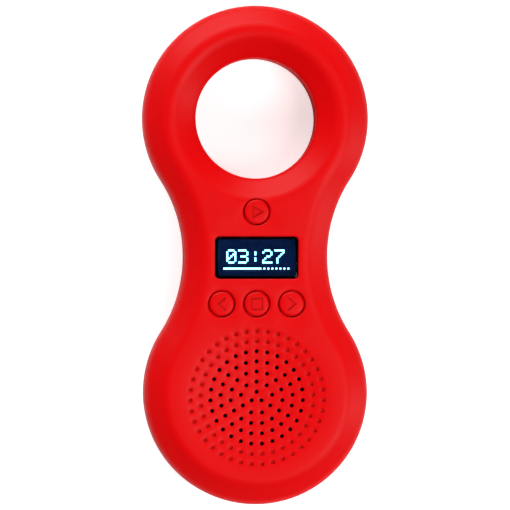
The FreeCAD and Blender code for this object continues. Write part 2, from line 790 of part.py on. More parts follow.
def make_board():
    body = new_body("main_pcb")
    outline = new_sketch(body, "outline", offset="board_under")
    side, low, high, corner = "board_width / 2", "-board_bottom", "board_top", "board_corner"
    right = [(side, low), (side, f"{high} - {corner}"), (f"{side} - {corner}", high)]
    left = [(f"-({x})", y) for x, y in reversed(right)]
    add_polygon(outline, right + left)
    for x, y in board_screw_places():
        add_circle(outline, x, y, "board_screw_radius + screw_clearance")
    pad(body, outline, "board_thickness")
    keep(body, "main_pcb")

    screws = []
    for index, (x, y) in enumerate(board_screw_places(), 1):
        head = cylinder(f"board_head_{index}", x, y, "board_under - board_screw_head_height",
                        "board_screw_head_radius", "board_screw_head_height")
        shank = cylinder(f"board_shank_{index}", x, y, "board_under - board_screw_head_height",
                         "board_screw_radius", "board_screw_length + board_screw_head_height")
        screws.append(fuse(f"board_screw_{index}", head, shank))
    keep(group("pcb_screws", screws), "pcb_screws")


CHIPS = {
    "processor": ("-6.5", "7.5", "8", "8", "0.9"),
    "memory": ("5.5", "12.5", "6", "8", "1.0"),
    "amplifier": ("12", "-11", "4", "5", "1.1"),
    "charger": ("-12.5", "-8.5", "3", "3", "0.9"),
}
PASSIVES = {
    "rows": [("-13", "1.6"), ("-11", "1.6"), ("12", "-17"), ("10", "-17"), ("-12", "14.5"), ("-10", "14.5")],
    "width": "1.2", "length": "2.0", "height": "0.6",
}


def make_board_parts():
    """Chips and small parts hang from the rear side of the board."""
    chips = [box(name, x, y, f"board_under - {height}", width, length, height)
             for name, (x, y, width, length, height) in CHIPS.items()]
    keep(group("pcb_chips", chips), "pcb_chips")
    small = [box(f"passive_{index}", x, y, f"board_under - {PASSIVES['height']}", PASSIVES["width"],
                 PASSIVES["length"], PASSIVES["height"])
             for index, (x, y) in enumerate(PASSIVES["rows"], 1)]
    keep(group("pcb_passives", small), "pcb_passives")
    for name, side in (("battery", "-"), ("speaker", "")):
        keep(box(f"{name}_connector", f"{side}connector_across", "-connector_offset",
                 "board_under - connector_height", "connector_width", "connector_length",
                 "connector_height"), f"{name}_connector")


def make_headphone_jack():
    block_end = "waist_half_width - wall - 2 * port_gap"
    block = box("jack_block", f"{block_end} - jack_length / 2", "0", "board_under - jack_height",
                "jack_length", "jack_width", "jack_height")
    collar = cross_cylinder("jack_collar", f"{block_end} - over_cut", "0", "parting_height",
                            "jack_collar_radius", f"port_reach - ({block_end}) + over_cut")
    bore = cross_cylinder("jack_bore", "port_reach - jack_bore_length", "0", "parting_height",
                          "jack_bore_radius", "jack_bore_length + over_cut")
    keep(cut("headphone_jack", fuse("jack_solid", block, collar), bore), "headphone_jack")


def make_usb_port():
    middle = "usb_length / 2 - port_reach"
    under = "board_under - usb_height"
    outer = box("usb_outer", middle, "0", under, "usb_length", "usb_width", "usb_height")
    inner = box("usb_inner", f"{middle} - usb_skin", "0", f"{under} + usb_skin", "usb_length",
                "usb_width - 2 * usb_skin", "usb_height - 2 * usb_skin")
    keep(cut("usb_shell", outer, inner), "usb_shell")
    keep(box("usb_tongue", f"{middle} + usb_tongue_set", "0",
             f"{under} + usb_height / 2 - usb_tongue_thickness / 2",
             "usb_length - 2 * usb_skin - 2 * usb_tongue_set", "usb_tongue_width",
             "usb_tongue_thickness"), "usb_tongue")


# Speaker

def make_speaker():
    """A flat speaker: stepped steel basket, magnet system, and a one-piece moulded diaphragm."""
    y = "-grille_offset"
    inner, outer = "basket_inner_radius", "speaker_radius"
    keep(turned("speaker_gasket", [
        (inner, "rim_face"), (outer, "rim_face"), (outer, "seat_face"), (inner, "seat_face")], y=y),
        "speaker_gasket")
    floor = "basket_under + rim_thickness"
    ledge = "rim_face - diaphragm_sink"
    keep(turned("speaker_basket", [
        ("yoke_radius", "basket_under"), (f"{inner} + rim_thickness", "basket_under"),
        (f"{inner} + rim_thickness", "rim_face - rim_thickness"), (outer, "rim_face - rim_thickness"),
        (outer, "rim_face"), (inner, "rim_face"), (inner, floor), ("yoke_radius", floor)], y=y),
        "speaker_basket")
    keep(turned("speaker_yoke", [
        ("0", "yoke_under"), ("yoke_radius", "yoke_under"), ("yoke_radius", "yoke_face"),
        ("yoke_inner_radius", "yoke_face"), ("yoke_inner_radius", "yoke_under + yoke_wall"),
        ("0", "yoke_under + yoke_wall")], y=y), "speaker_yoke")
    keep(cylinder("speaker_magnet", "0", y, "yoke_under + yoke_wall", "pole_radius - magnet_set",
                  "yoke_height - yoke_wall - pole_height"), "speaker_magnet")
    keep(cylinder("pole_plate", "0", y, "yoke_face - pole_height", "pole_radius", "pole_height"),
         "pole_plate")
    coil_outer = "coil_radius + coil_wall"
    keep(turned("voice_coil", [
        ("coil_radius", "coil_under"), (coil_outer, "coil_under"), (coil_outer, "coil_face"),
        ("coil_radius", "coil_face")], y=y), "voice_coil")
    keep(turned("speaker_diaphragm", [
        ("0", "coil_face + dust_cap_rise"), ("coil_radius", "coil_face"), (coil_outer, "coil_face"),
        ("cone_radius", ledge), (inner, ledge), (inner, f"{ledge} + cone_thickness"),
        ("cone_radius", f"{ledge} + cone_thickness"), (coil_outer, "coil_face + cone_thickness"),
        ("0", "coil_face + dust_cap_rise + cone_thickness")], y=y), "speaker_diaphragm")
    keep(box("speaker_terminal_board", "0", f"{inner} + rim_thickness + terminal_length / 2 - grille_offset",
             "basket_under", "terminal_width", "terminal_length", "terminal_thickness"),
         "speaker_terminal_board")


# Battery

def make_battery():
    body = new_body("battery_cell")
    outline = new_sketch(body, "outline", offset="battery_under")
    add_rectangle(outline, "0", "-battery_offset", "battery_width", "battery_length")
    feature = pad(body, outline, "battery_thickness")
    rounded = body.newObject("PartDesign::Fillet", "battery_cell_sides")
    sides = [f"Edge{index}" for index, edge in enumerate(feature.Shape.Edges, 1)
             if edge.BoundBox.YLength > evaluate("battery_length / 2")
             and edge.BoundBox.XLength < evaluate("battery_width / 2")]
    rounded.Base = (feature, sides)
    bind(rounded, Radius="battery_corner")
    keep(body, "battery_cell")
    keep(box("battery_foam", "0", "-battery_offset", "foam_under", "battery_width - 2 * foam_margin",
             "battery_length - 2 * foam_margin", "foam_thickness"), "battery_foam")
    keep(box("battery_board", "0", "battery_end + battery_board_length / 2",
             "battery_under + battery_thickness / 2 - battery_board_thickness / 2",
             "battery_board_width", "battery_board_length", "battery_board_thickness"), "battery_board")


# Leads, each a tube along straight runs joined by tangent arcs

BEND_SHARE = 0.45
LEAD_SIDES = 6


def lead(label, points):
    """A thin tube of flat sides, whose bends are as wide as its runs allow."""
    corners = [Vector(*(evaluate(value) for value in point)) for point in points]
    edges, start = [], corners[0]
    for before, corner, after in zip(corners, corners[1:], corners[2:]):
        backward, forward = (before - corner), (after - corner)
        reach = BEND_SHARE * min(backward.Length, forward.Length)
        first = corner + backward.normalize() * reach
        last = corner + forward.normalize() * reach
        to_chord = (first + last) / 2 - corner
        half_chord = (last - first).Length / 2
        centre = corner + to_chord * (1 + (half_chord / to_chord.Length) ** 2)
        radius = (first - centre).Length
        middle = centre + (corner - centre).normalize() * radius
        print(f"{label}: bend radius {radius:.2f} mm")
        edges.append(Part.LineSegment(start, first).toShape())
        edges.append(Part.Arc(first, middle, last).toShape())
        start = last
    edges.append(Part.LineSegment(start, corners[-1]).toShape())
    path = Part.Wire(edges)
    lead_radius = evaluate("lead_radius")
    turns = [Rotation(Vector(0, 1, 0), 360 * side / LEAD_SIDES) for side in range(LEAD_SIDES + 1)]
    section = Part.makePolygon([corners[0] + turn.multVec(Vector(lead_radius, 0, 0)) for turn in turns])
    tube = path.makePipeShell([section], True, False)
    section_area = LEAD_SIDES / 2 * math.sin(2 * math.pi / LEAD_SIDES) * lead_radius ** 2
    expected = section_area * path.Length
    print(f"{label}: length {path.Length:.1f} mm, volume {tube.Volume:.3f} of {expected:.3f} mm3")
    item = doc.addObject("Part::Feature", label)
    item.Shape = tube
    return keep(item, label)


def make_leads():
    entry = "-connector_offset - connector_length / 2"
    board_end = "battery_end + battery_board_length"
    board_height = "battery_under + battery_thickness / 2"
    terminal_end = "basket_inner_radius + rim_thickness + terminal_length - grille_offset"
    terminal_height = "basket_under + terminal_thickness / 2"
    for colour, shift in (("red", "lead_pitch / 2"), ("black", "-lead_pitch / 2")):
        x = f"{shift} - connector_across"
        lead(f"battery_lead_{colour}", [
            (x, board_end, board_height), (x, f"{board_end} + lead_run", board_height),
            (x, f"{entry} - lead_run", "lead_height"), (x, entry, "lead_height")])
        near = f"2 * ({shift}) + terminal_lead_shift"
        far = f"{shift} + connector_across"
        run = f"(({entry}) - ({terminal_end})) / 3"
        lead(f"speaker_lead_{colour}", [
            (near, terminal_end, terminal_height), (near, f"{terminal_end} + {run}", terminal_height),
            (far, f"{entry} - {run}", "lead_height"), (far, entry, "lead_height")])


def check_and_write():
    doc.recompute()
    for item in doc.Objects:
        if "Invalid" in item.State or "Error" in item.State:
            raise RuntimeError(f"{item.Name} failed: {item.State}")
    os.makedirs("parts", exist_ok=True)
    for item in sub_parts:
        shape = item.Shape
        if shape.isNull() or not shape.isValid() or not shape.Solids:
            raise RuntimeError(f"{item.Label} has no valid solid")
        shape.exportStep(os.path.join("parts", f"{item.Label}.step"))
        print(f"{item.Label}: {len(shape.Solids)} solid(s), {shape.Volume:.1f} mm3")


for table in (HOUSING_SIZES, SCREW_SIZES, SCREEN_SIZES, BUTTON_SIZES, GRILLE_SIZES, SPEAKER_SIZES,
              BOARD_SIZES, BATTERY_SIZES, DERIVED_SIZES):
    fill_sheet(table)
doc.recompute()
make_front_shell()
make_rear_shell()
make_shell_screws()
make_screen()
make_buttons()
make_board()
make_board_parts()
make_headphone_jack()
make_usb_port()
make_speaker()
make_battery()
make_leads()
check_and_write()
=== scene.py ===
# %% [markdown]
# The object is an audio story player: a red figure-eight moulding that a child carries by its ring.
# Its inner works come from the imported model. This script gives every piece its finish, and builds
# finer meshes for the parts that show: both shells, the button caps, the lens and the screws.
# Lengths are in metres; MM turns a size in millimetres into metres.

# %% load the frame
import json
import math
import bmesh
import bpy
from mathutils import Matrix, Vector
from mathutils.geometry import delaunay_2d_cdt


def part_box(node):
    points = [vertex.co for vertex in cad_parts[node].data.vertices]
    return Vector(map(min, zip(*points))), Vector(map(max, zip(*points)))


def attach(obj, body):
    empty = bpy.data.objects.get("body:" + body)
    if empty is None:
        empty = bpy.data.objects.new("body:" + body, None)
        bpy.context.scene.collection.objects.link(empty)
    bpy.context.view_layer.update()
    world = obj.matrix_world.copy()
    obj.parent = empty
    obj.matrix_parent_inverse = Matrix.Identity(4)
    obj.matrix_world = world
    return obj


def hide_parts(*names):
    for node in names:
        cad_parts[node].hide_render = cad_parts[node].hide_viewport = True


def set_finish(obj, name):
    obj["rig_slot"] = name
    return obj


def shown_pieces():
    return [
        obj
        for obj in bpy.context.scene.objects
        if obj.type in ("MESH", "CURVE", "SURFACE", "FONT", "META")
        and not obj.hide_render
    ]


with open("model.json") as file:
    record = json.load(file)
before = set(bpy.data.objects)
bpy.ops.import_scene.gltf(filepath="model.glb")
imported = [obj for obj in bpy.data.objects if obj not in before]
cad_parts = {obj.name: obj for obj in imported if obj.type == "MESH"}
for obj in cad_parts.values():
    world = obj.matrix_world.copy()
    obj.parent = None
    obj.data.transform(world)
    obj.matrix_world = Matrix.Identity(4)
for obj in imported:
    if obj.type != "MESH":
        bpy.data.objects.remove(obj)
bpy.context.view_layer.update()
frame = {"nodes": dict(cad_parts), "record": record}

MM = 0.001
nodes = frame["nodes"]

# %% [markdown]
# The housing's outline is two round lobes joined by hollow waist arcs that touch both of them.
# Every edge of the shell is the same moulded section swept along that outline and round the ring's
# hole, so the outline is written once, as a function of how far it is drawn in.

# %% outline of the housing
shell_low, shell_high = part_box("front_shell")
THICKNESS = shell_high[2]
PARTING = 12 * MM
WALL = 2 * MM
RING_RADIUS = 34 * MM
RING_Y = shell_high[1] - RING_RADIUS
BODY_RADIUS = 33.7 * MM
BODY_Y = shell_low[1] + BODY_RADIUS
WAIST_RADIUS = 42 * MM
HOLE_RADIUS = 18 * MM
LOBE_STEPS, WAIST_STEPS, HOLE_STEPS = 190, 40, 150
TO_RING = RING_RADIUS + WAIST_RADIUS
TO_BODY = BODY_RADIUS + WAIST_RADIUS
WAIST_Y = (TO_BODY ** 2 - TO_RING ** 2 + RING_Y ** 2 - BODY_Y ** 2) / (2 * (RING_Y - BODY_Y))
WAIST_X = math.sqrt(TO_BODY ** 2 - (WAIST_Y - BODY_Y) ** 2)
RING_TURN = math.atan2(RING_Y - WAIST_Y, WAIST_X)
BODY_TURN = math.atan2(WAIST_Y - BODY_Y, WAIST_X)


def arc(x, y, radius, start, end, steps):
    """Points from start up to, but without, the end."""
    return [(x + radius * math.cos(start + (end - start) * i / steps),
             y + radius * math.sin(start + (end - start) * i / steps)) for i in range(steps)]


def circle(x, y, radius, steps=48):
    """Points of a whole circle, anticlockwise from its right."""
    return arc(x, y, radius, 0, 2 * math.pi, steps)


def outline(inset):
    """The figure-eight, anticlockwise, drawn in by the inset."""
    ring, body, waist = RING_RADIUS - inset, BODY_RADIUS - inset, WAIST_RADIUS + inset
    return (arc(0, RING_Y, ring, -RING_TURN, math.pi + RING_TURN, LOBE_STEPS)
            + arc(-WAIST_X, WAIST_Y, waist, RING_TURN, -BODY_TURN, WAIST_STEPS)
            + arc(0, BODY_Y, body, math.pi - BODY_TURN, 2 * math.pi + BODY_TURN, LOBE_STEPS)
            + arc(WAIST_X, WAIST_Y, waist, math.pi + BODY_TURN, math.pi - RING_TURN, WAIST_STEPS))


def ring_hole(inset):
    """The hole's edge, drawn into the material by the inset."""
    return circle(0, RING_Y, HOLE_RADIUS + inset, HOLE_STEPS)


def rounded_box(x, y, width, height, corner, steps=8):
    """Points of a rectangle with rounded corners, about its middle."""
    points = []
    for number, (side, up) in enumerate(((1, 1), (-1, 1), (-1, -1), (1, -1))):
        start = number * math.pi / 2
        points += arc(x + side * (width / 2 - corner), y + up * (height / 2 - corner), corner,
                      start, start + math.pi / 2, steps)
    return points


print("waist half width", round((WAIST_X - WAIST_RADIUS) / MM, 2), "mm")

# %% [markdown]
# A moulding is built from loops of points. Two loops of equal count make a strip of quads, and a
# flat or dished face with holes is triangulated between its loops. This keeps curved bands in
# even rows, which shade cleanly, and lets a face have as many holes as the grille needs.

# %% mesh helpers
SHARP_ANGLE = math.radians(35)
MERGE_DISTANCE, SHEET_TOLERANCE = 1e-7, 1e-9


def quarter_turn(steps):
    """Angles from nothing to a right angle in even steps, with both ends."""
    return [i * math.pi / (2 * steps) for i in range(steps + 1)]


class Moulding:
    """A mesh that grows loop by loop."""

    def __init__(self):
        self.points = []
        self.faces = []

    def loop(self, flat, height):
        """Add points at a height, or at the height that a function gives; returns their numbers."""
        start = len(self.points)
        self.points += [(x, y, height(x, y) if callable(height) else height) for x, y in flat]
        return list(range(start, len(self.points)))

    def strip(self, first, second):
        """A closed band of quads between two loops of equal count."""
        count = len(first)
        self.faces += [(first[i], first[(i + 1) % count], second[(i + 1) % count], second[i])
                       for i in range(count)]

    def strips(self, loops):
        for first, second in zip(loops, loops[1:]):
            self.strip(first, second)

    def disc(self, loop):
        """One flat face over a loop."""
        self.faces.append(tuple(loop))

    def sheet(self, outer, holes=(), spare=()):
        """Triangles between an outer loop and the loops of its holes, through the spare points."""
        loops = [outer] + list(holes)
        members = [index for loop in loops for index in loop] + list(spare)
        place = {index: number for number, index in enumerate(members)}
        owner = {index: number for number, loop in enumerate(holes) for index in loop}
        edges = [(place[a], place[b]) for loop in loops for a, b in zip(loop, loop[1:] + loop[:1])]
        flat = [Vector(self.points[index][:2]) for index in members]
        found, _, triangles, origin, _, _ = delaunay_2d_cdt(flat, edges, [], 1, SHEET_TOLERANCE)
        shapes = [[self.points[index][:2] for index in loop] for loop in holes]
        for triangle in triangles:
            corners = [members[origin[number][0]] for number in triangle]
            owners = {owner.get(index) for index in corners}
            if len(owners) == 1 and None not in owners:
                middle = [sum(self.points[index][axis] for index in corners) / 3 for axis in (0, 1)]
                if inside(middle, shapes[owners.pop()]):
                    continue
            self.faces.append(tuple(corners))

    def make_object(self, name):
        """An object in the scene, its points merged and its faces turned outwards."""
        mesh = bpy.data.meshes.new(name)
        mesh.from_pydata(self.points, [], self.faces)
        tidy_mesh(mesh)
        piece = bpy.data.objects.new(name, mesh)
        bpy.context.collection.objects.link(piece)
        return piece

    def finish(self, name, body, slot, replaced=()):
        """The moulding as a shaded piece that rides a body and stands for the replaced nodes."""
        piece = self.make_object(name)
        smooth_shade(piece.data)
        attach(piece, body)
        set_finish(piece, slot)
        if replaced:
            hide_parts(*replaced)
        print(name, len(piece.data.polygons), "faces")
        return piece


def inside(point, shape):
    """Whether a point lies in a closed outline."""
    hit = False
    for (ax, ay), (bx, by) in zip(shape, shape[1:] + shape[:1]):
        if (ay > point[1]) != (by > point[1]):
            if point[0] < (bx - ax) * (point[1] - ay) / (by - ay) + ax:
                hit = not hit
    return hit


def tidy_mesh(mesh):
    """Merge points that meet and turn every face outwards."""
    work = bmesh.new()
    work.from_mesh(mesh)
    bmesh.ops.remove_doubles(work, verts=work.verts, dist=MERGE_DISTANCE)
    bmesh.ops.recalc_face_normals(work, faces=work.faces)
    work.to_mesh(mesh)
    work.free()


def smooth_shade(mesh):
    """Smooth shading with the real edges kept sharp."""
    mesh.shade_smooth()
    mesh.set_sharp_from_angle(angle=SHARP_ANGLE)


def rounded_corner(centre, radius, start, end, steps=6):
    """Points of a profile's corner; a profile is a list of (inset, height)."""
    return [(centre[0] - radius * math.cos(start + (end - start) * i / steps),
             centre[1] + radius * math.sin(start + (end - start) * i / steps))
            for i in range(steps + 1)]


# %% [markdown]
# The front edge is a soft slope: a round shoulder, a straight bevel and a round crown that runs
# into the flat face. Both rounds are true arcs here, tangent to the lines beside them, and the
# inside of the wall repeats them at the wall's thickness.

# %% section of the front edge
BEVEL_WIDTH, BEVEL_HEIGHT = 6.3 * MM, 4.4 * MM
CROWN_RADIUS = 5.0 * MM
OUTLINE_SHOULDER, HOLE_SHOULDER = 4.2 * MM, 2.2 * MM
OUTLINE_DRAFT, HOLE_DRAFT = math.tan(math.radians(2.5)), math.tan(math.radians(0.5))
SEAM = 0.22 * MM
TONGUE_HEIGHT, TONGUE_INSET = 1.2 * MM, 1.1 * MM
SLOPE = math.atan2(BEVEL_HEIGHT, BEVEL_WIDTH)
CROWN_SET = CROWN_RADIUS * math.tan(SLOPE / 2)
EDGE_BAND = BEVEL_WIDTH + CROWN_SET
CROWN_CENTRE = (EDGE_BAND, THICKNESS - CROWN_RADIUS)
STEEP = math.pi / 2 - SLOPE
FRONT_LEAN, REAR_LEAN = 0.6, 0.4


def drafted(section, draft, share):
    """Lean a wall inwards, away from the parting line.

    Along the section the lean fades from all of the draft to this share of it.
    """
    fade = 1 - share
    last = len(section) - 1
    return [(inset + draft * abs(height - PARTING) * (1 - fade * i / last), height)
            for i, (inset, height) in enumerate(section)]


def front_section(shoulder, draft):
    """Outer face from the parting line up to the flat, then the inner face back down."""
    tangent = shoulder * math.tan(math.pi / 4 - SLOPE / 2)
    centre = (shoulder, THICKNESS - BEVEL_HEIGHT - tangent)
    outer = [(SEAM, PARTING), (0, PARTING + SEAM)]
    outer += [(0, PARTING + (centre[1] - PARTING) * i / 3) for i in (1, 2)]
    outer += rounded_corner(centre, shoulder, 0, STEEP, 8)
    outer = drafted(outer, draft, FRONT_LEAN)
    outer += rounded_corner(CROWN_CENTRE, CROWN_RADIUS, STEEP, math.pi / 2, 6)
    inner = rounded_corner(centre, shoulder - WALL, 0, STEEP, 3)
    inner += rounded_corner(CROWN_CENTRE, CROWN_RADIUS - WALL, STEEP, math.pi / 2, 3)
    inner = [(WALL, PARTING - TONGUE_HEIGHT)] + inner
    tongue = [(TONGUE_INSET, PARTING), (TONGUE_INSET, PARTING - TONGUE_HEIGHT)]
    return outer, inner, tongue


def swept(shell, section, path):
    """A loop along the path for each point of a section."""
    return [shell.loop(path(inset), height) for inset, height in section]


print("slope", round(math.degrees(SLOPE), 1), "degrees, band", round(EDGE_BAND / MM, 2), "mm")

# %% [markdown]
# The front face carries the shallow round dish of the speaker grille, with seven rings of small
# holes, each drilled with a softened rim. The speaker's seat lies behind the two outer rings, so
# their holes are shallow and blind and look red inside. The others open onto the dark speaker.

# %% places on the front face
GRILLE_Y = -42.6 * MM
DISH_RADIUS, DISH_DEPTH = 21.25 * MM, 1.5 * MM
DISH_CURVE = (DISH_RADIUS ** 2 + DISH_DEPTH ** 2) / (2 * DISH_DEPTH)
PLATFORM = 21.6 * MM
SEAT_RADIUS = 21.6 * MM
GRILLE_PITCH, GRILLE_FIRST, GRILLE_RINGS = 3.035 * MM, 1.7 * MM, 7
OPEN_RINGS = 5
BLIND_DEPTH = 0.75 * MM
HOLE = 0.6 * MM
HOLE_RIM = ((0.14 * MM, 0), (0.05 * MM, 0.03 * MM), (0.0, 0.12 * MM))
DISH_CIRCLE, HOLE_CIRCLE = 120, 18
WINDOW_Y = -0.8 * MM
WINDOW_WIDTH, WINDOW_HEIGHT, WINDOW_CORNER = 25 * MM, 12.7 * MM, 1.5 * MM
WINDOW_RIM, LEDGE_DEPTH, LEDGE_WIDTH, SMALL_CORNER = 0.5 * MM, 1.2 * MM, 1 * MM, 0.6 * MM
CAP_RADIUS, CAP_GAP, BUTTON_RIM = 3.7 * MM, 0.3 * MM, 0.6 * MM
BUTTONS = {"play": (0, 12.9 * MM), "previous": (-10.45 * MM, -14.6 * MM),
           "stop": (0, -14.6 * MM), "next": (10.45 * MM, -14.6 * MM)}


def dish_height(x, y):
    """Height of the dish, a shallow part of a sphere."""
    reach = x ** 2 + (y - GRILLE_Y) ** 2
    return THICKNESS - DISH_DEPTH + DISH_CURVE - math.sqrt(DISH_CURVE ** 2 - reach)


def grille_places():
    """(x, y, ring) of each hole; every ring has one hole at the top."""
    for ring in range(GRILLE_RINGS):
        count = 3 + 6 * ring
        for x, y in arc(0, GRILLE_Y, GRILLE_FIRST + ring * GRILLE_PITCH,
                        math.pi / 2, 5 * math.pi / 2, count):
            yield x, y, ring


def drill(shell, x, y, floor):
    """One hole from its softened rim down to the floor; returns its first and last loops."""
    rims = [shell.loop(circle(x, y, HOLE + out, HOLE_CIRCLE),
                       lambda px, py, drop=drop: dish_height(px, py) - drop)
            for out, drop in HOLE_RIM]
    rims.append(shell.loop(circle(x, y, HOLE, HOLE_CIRCLE), floor))
    shell.strips(rims)
    return rims[0], rims[-1]


# %% [markdown]
# The front shell has the edge section swept along both paths, and its flat face, the dish and the
# roof inside are sheets with holes. The window's recess has a ledge that carries the lens.

# %% front shell
ROOF = THICKNESS - WALL


def soft_edge(shell, shape, drop, width):
    """A rounded rim round an opening in the flat face; shape(out) is the opening made larger."""
    loops = [shell.loop(shape(width * (1 - math.sin(t))), THICKNESS - width * (1 - math.cos(t)))
             for t in quarter_turn(4)]
    loops.append(shell.loop(shape(0), drop))
    shell.strips(loops)
    return loops[0], loops[-1]


def window_shape(out):
    """The window's outline, made larger all round."""
    return rounded_box(0, WINDOW_Y, WINDOW_WIDTH + 2 * out, WINDOW_HEIGHT + 2 * out,
                       WINDOW_CORNER + out)


def make_front_shell():
    shell = Moulding()
    flat_edges, roof_edges = [], []
    for path, shoulder, draft in ((outline, OUTLINE_SHOULDER, OUTLINE_DRAFT),
                                  (ring_hole, HOLE_SHOULDER, HOLE_DRAFT)):
        outer, inner, tongue = front_section(shoulder, draft)
        outside = swept(shell, outer, path)
        inside_wall = swept(shell, inner, path)
        step = swept(shell, tongue, path)
        shell.strips(outside)
        shell.strips(inside_wall)
        shell.strips([outside[0]] + step + [inside_wall[0]])
        flat_edges.append(outside[-1])
        roof_edges.append(inside_wall[-1])

    dish_rim = shell.loop(circle(0, GRILLE_Y, DISH_RADIUS, DISH_CIRCLE), THICKNESS)
    rims, open_ends = [], []
    for x, y, ring in grille_places():
        opens = ring < OPEN_RINGS
        rim, end = drill(shell, x, y, PLATFORM if opens else dish_height(x, y) - BLIND_DEPTH)
        rims.append(rim)
        if opens:
            open_ends.append(end)
        else:
            shell.disc(end)
    grid = [point for row in range(GRILLE_RINGS) for point in
            circle(0, GRILLE_Y, GRILLE_FIRST + (row + 0.5) * GRILLE_PITCH, 24 + 24 * row)]
    shell.sheet(dish_rim, rims, shell.loop(grid, dish_height))

    ledge = THICKNESS - LEDGE_DEPTH
    window_rim, window_floor = soft_edge(shell, window_shape, ledge, WINDOW_RIM)
    opening = rounded_box(0, WINDOW_Y, WINDOW_WIDTH - 2 * LEDGE_WIDTH,
                          WINDOW_HEIGHT - 2 * LEDGE_WIDTH, SMALL_CORNER)
    opening_top, opening_low = shell.loop(opening, ledge), shell.loop(opening, ROOF)
    shell.strips([window_floor, opening_top, opening_low])
    face_holes, roof_holes = [window_rim], [opening_low]
    for x, y in [place for name, place in BUTTONS.items() if name != "play"]:
        rim, low = soft_edge(shell, lambda out, x=x, y=y: circle(x, y, CAP_RADIUS + CAP_GAP + out),
                             ROOF, BUTTON_RIM)
        face_holes.append(rim)
        roof_holes.append(low)
    shell.sheet(flat_edges[0], [flat_edges[1], dish_rim] + face_holes)

    seat_top = shell.loop(circle(0, GRILLE_Y, SEAT_RADIUS, DISH_CIRCLE), ROOF)
    seat_low = shell.loop(circle(0, GRILLE_Y, SEAT_RADIUS, DISH_CIRCLE), PLATFORM)
    shell.strip(seat_top, seat_low)
    shell.sheet(seat_low, open_ends)
    shell.sheet(roof_edges[0], [roof_edges[1], seat_top] + roof_holes)
    return shell.finish("front_shell_moulding", "housing", "red_plastic", ["front_shell"])


front_shell = make_front_shell()

# %% [markdown]
# The rear shell repeats the outline with a smaller edge and a flat back. Six deep counterbores
# hold the screws that close the housing, so they are the only thing to see on the back.

# %% rear shell
BACK_BEVEL, BACK_ROUND = 2.5 * MM, 1.6 * MM
SCREW_SEAT = 7 * MM
COUNTERBORE, SCREW_HOLE, POST = 2.5 * MM, 1.15 * MM, 3.5 * MM
COUNTERBORE_RIM, TONGUE_GAP, INNER_BEVEL = 0.2 * MM, 0.1 * MM, 1 * MM
SCREW_RING, SCREW_BODY = RING_RADIUS - 8 * MM, BODY_RADIUS - 8.2 * MM
RING_ANGLE, BODY_ANGLE = math.radians(45), math.radians(55)


def screw_places():
    """The six screws: four round the ring's hole and two in the body."""
    for side in (1, -1):
        for up in (1, -1):
            yield (side * SCREW_RING * math.cos(RING_ANGLE),
                   RING_Y + up * SCREW_RING * math.sin(RING_ANGLE))
        yield side * SCREW_BODY * math.cos(BODY_ANGLE), BODY_Y - SCREW_BODY * math.sin(BODY_ANGLE)


def rear_section():
    """Outer face from the parting line down to the flat back, then the inner face back up."""
    bend = BACK_ROUND * math.tan(math.pi / 8)
    low_centre = (BACK_BEVEL + bend, BACK_ROUND)
    side_centre = (BACK_ROUND, BACK_BEVEL + bend)
    outer = [(SEAM, PARTING), (0, PARTING - SEAM)]
    outer += [(0, PARTING + (side_centre[1] - PARTING) * i / 3) for i in (1, 2)]
    for centre, start in ((side_centre, 0), (low_centre, math.pi / 4)):
        outer += [(centre[0] - BACK_ROUND * math.cos(start + math.pi / 4 * i / 4),
                   centre[1] - BACK_ROUND * math.sin(start + math.pi / 4 * i / 4))
                  for i in range(5)]
    outer = drafted(outer, OUTLINE_DRAFT, REAR_LEAN)
    groove_floor = PARTING - TONGUE_HEIGHT - TONGUE_GAP
    inner = [(WALL, groove_floor), (WALL, WALL + INNER_BEVEL), (WALL + INNER_BEVEL, WALL)]
    groove = [(TONGUE_INSET - TONGUE_GAP, PARTING), (TONGUE_INSET - TONGUE_GAP, groove_floor)]
    return outer, inner, groove


def make_rear_shell():
    shell = Moulding()
    outer, inner, groove = rear_section()
    back_edges, floor_edges = [], []
    for path in (outline, ring_hole):
        outside = swept(shell, outer, path)
        inside_wall = swept(shell, inner, path)
        step = swept(shell, groove, path)
        shell.strips(outside)
        shell.strips(inside_wall)
        shell.strips([outside[0]] + step + [inside_wall[0]])
        back_edges.append(outside[-1])
        floor_edges.append(inside_wall[-1])
    back_holes, floor_holes = [], []
    for x, y in screw_places():
        loops = [shell.loop(circle(x, y, COUNTERBORE + COUNTERBORE_RIM * (1 - math.sin(t))),
                            COUNTERBORE_RIM * (1 - math.cos(t))) for t in quarter_turn(4)]
        loops += [shell.loop(circle(x, y, COUNTERBORE), SCREW_SEAT),
                  shell.loop(circle(x, y, SCREW_HOLE), SCREW_SEAT),
                  shell.loop(circle(x, y, SCREW_HOLE), PARTING),
                  shell.loop(circle(x, y, POST), PARTING), shell.loop(circle(x, y, POST), WALL)]
        shell.strips(loops)
        back_holes.append(loops[0])
        floor_holes.append(loops[-1])
    shell.sheet(back_edges[0], [back_edges[1]] + back_holes)
    shell.sheet(floor_edges[0], [floor_edges[1]] + floor_holes)
    return shell.finish("rear_shell_moulding", "housing", "red_plastic", ["rear_shell"])


rear_shell = make_rear_shell()

# %% [markdown]
# The headphone socket comes out through a round opening in the right wall and the charging socket
# through a slot in the left wall. Both openings cross the parting line, so each is one cutter that
# goes through both shells. The upper button's hole breaks into the slope of the ring, so it is cut
# in the same way.

# %% openings for the sockets and the upper button
WAIST = WAIST_X - WAIST_RADIUS
JACK_OPENING = 3.1 * MM
USB_WIDTH, USB_HEIGHT, USB_CORNER, USB_Z = 7.9 * MM, 3.0 * MM, 0.8 * MM, 13.2 * MM


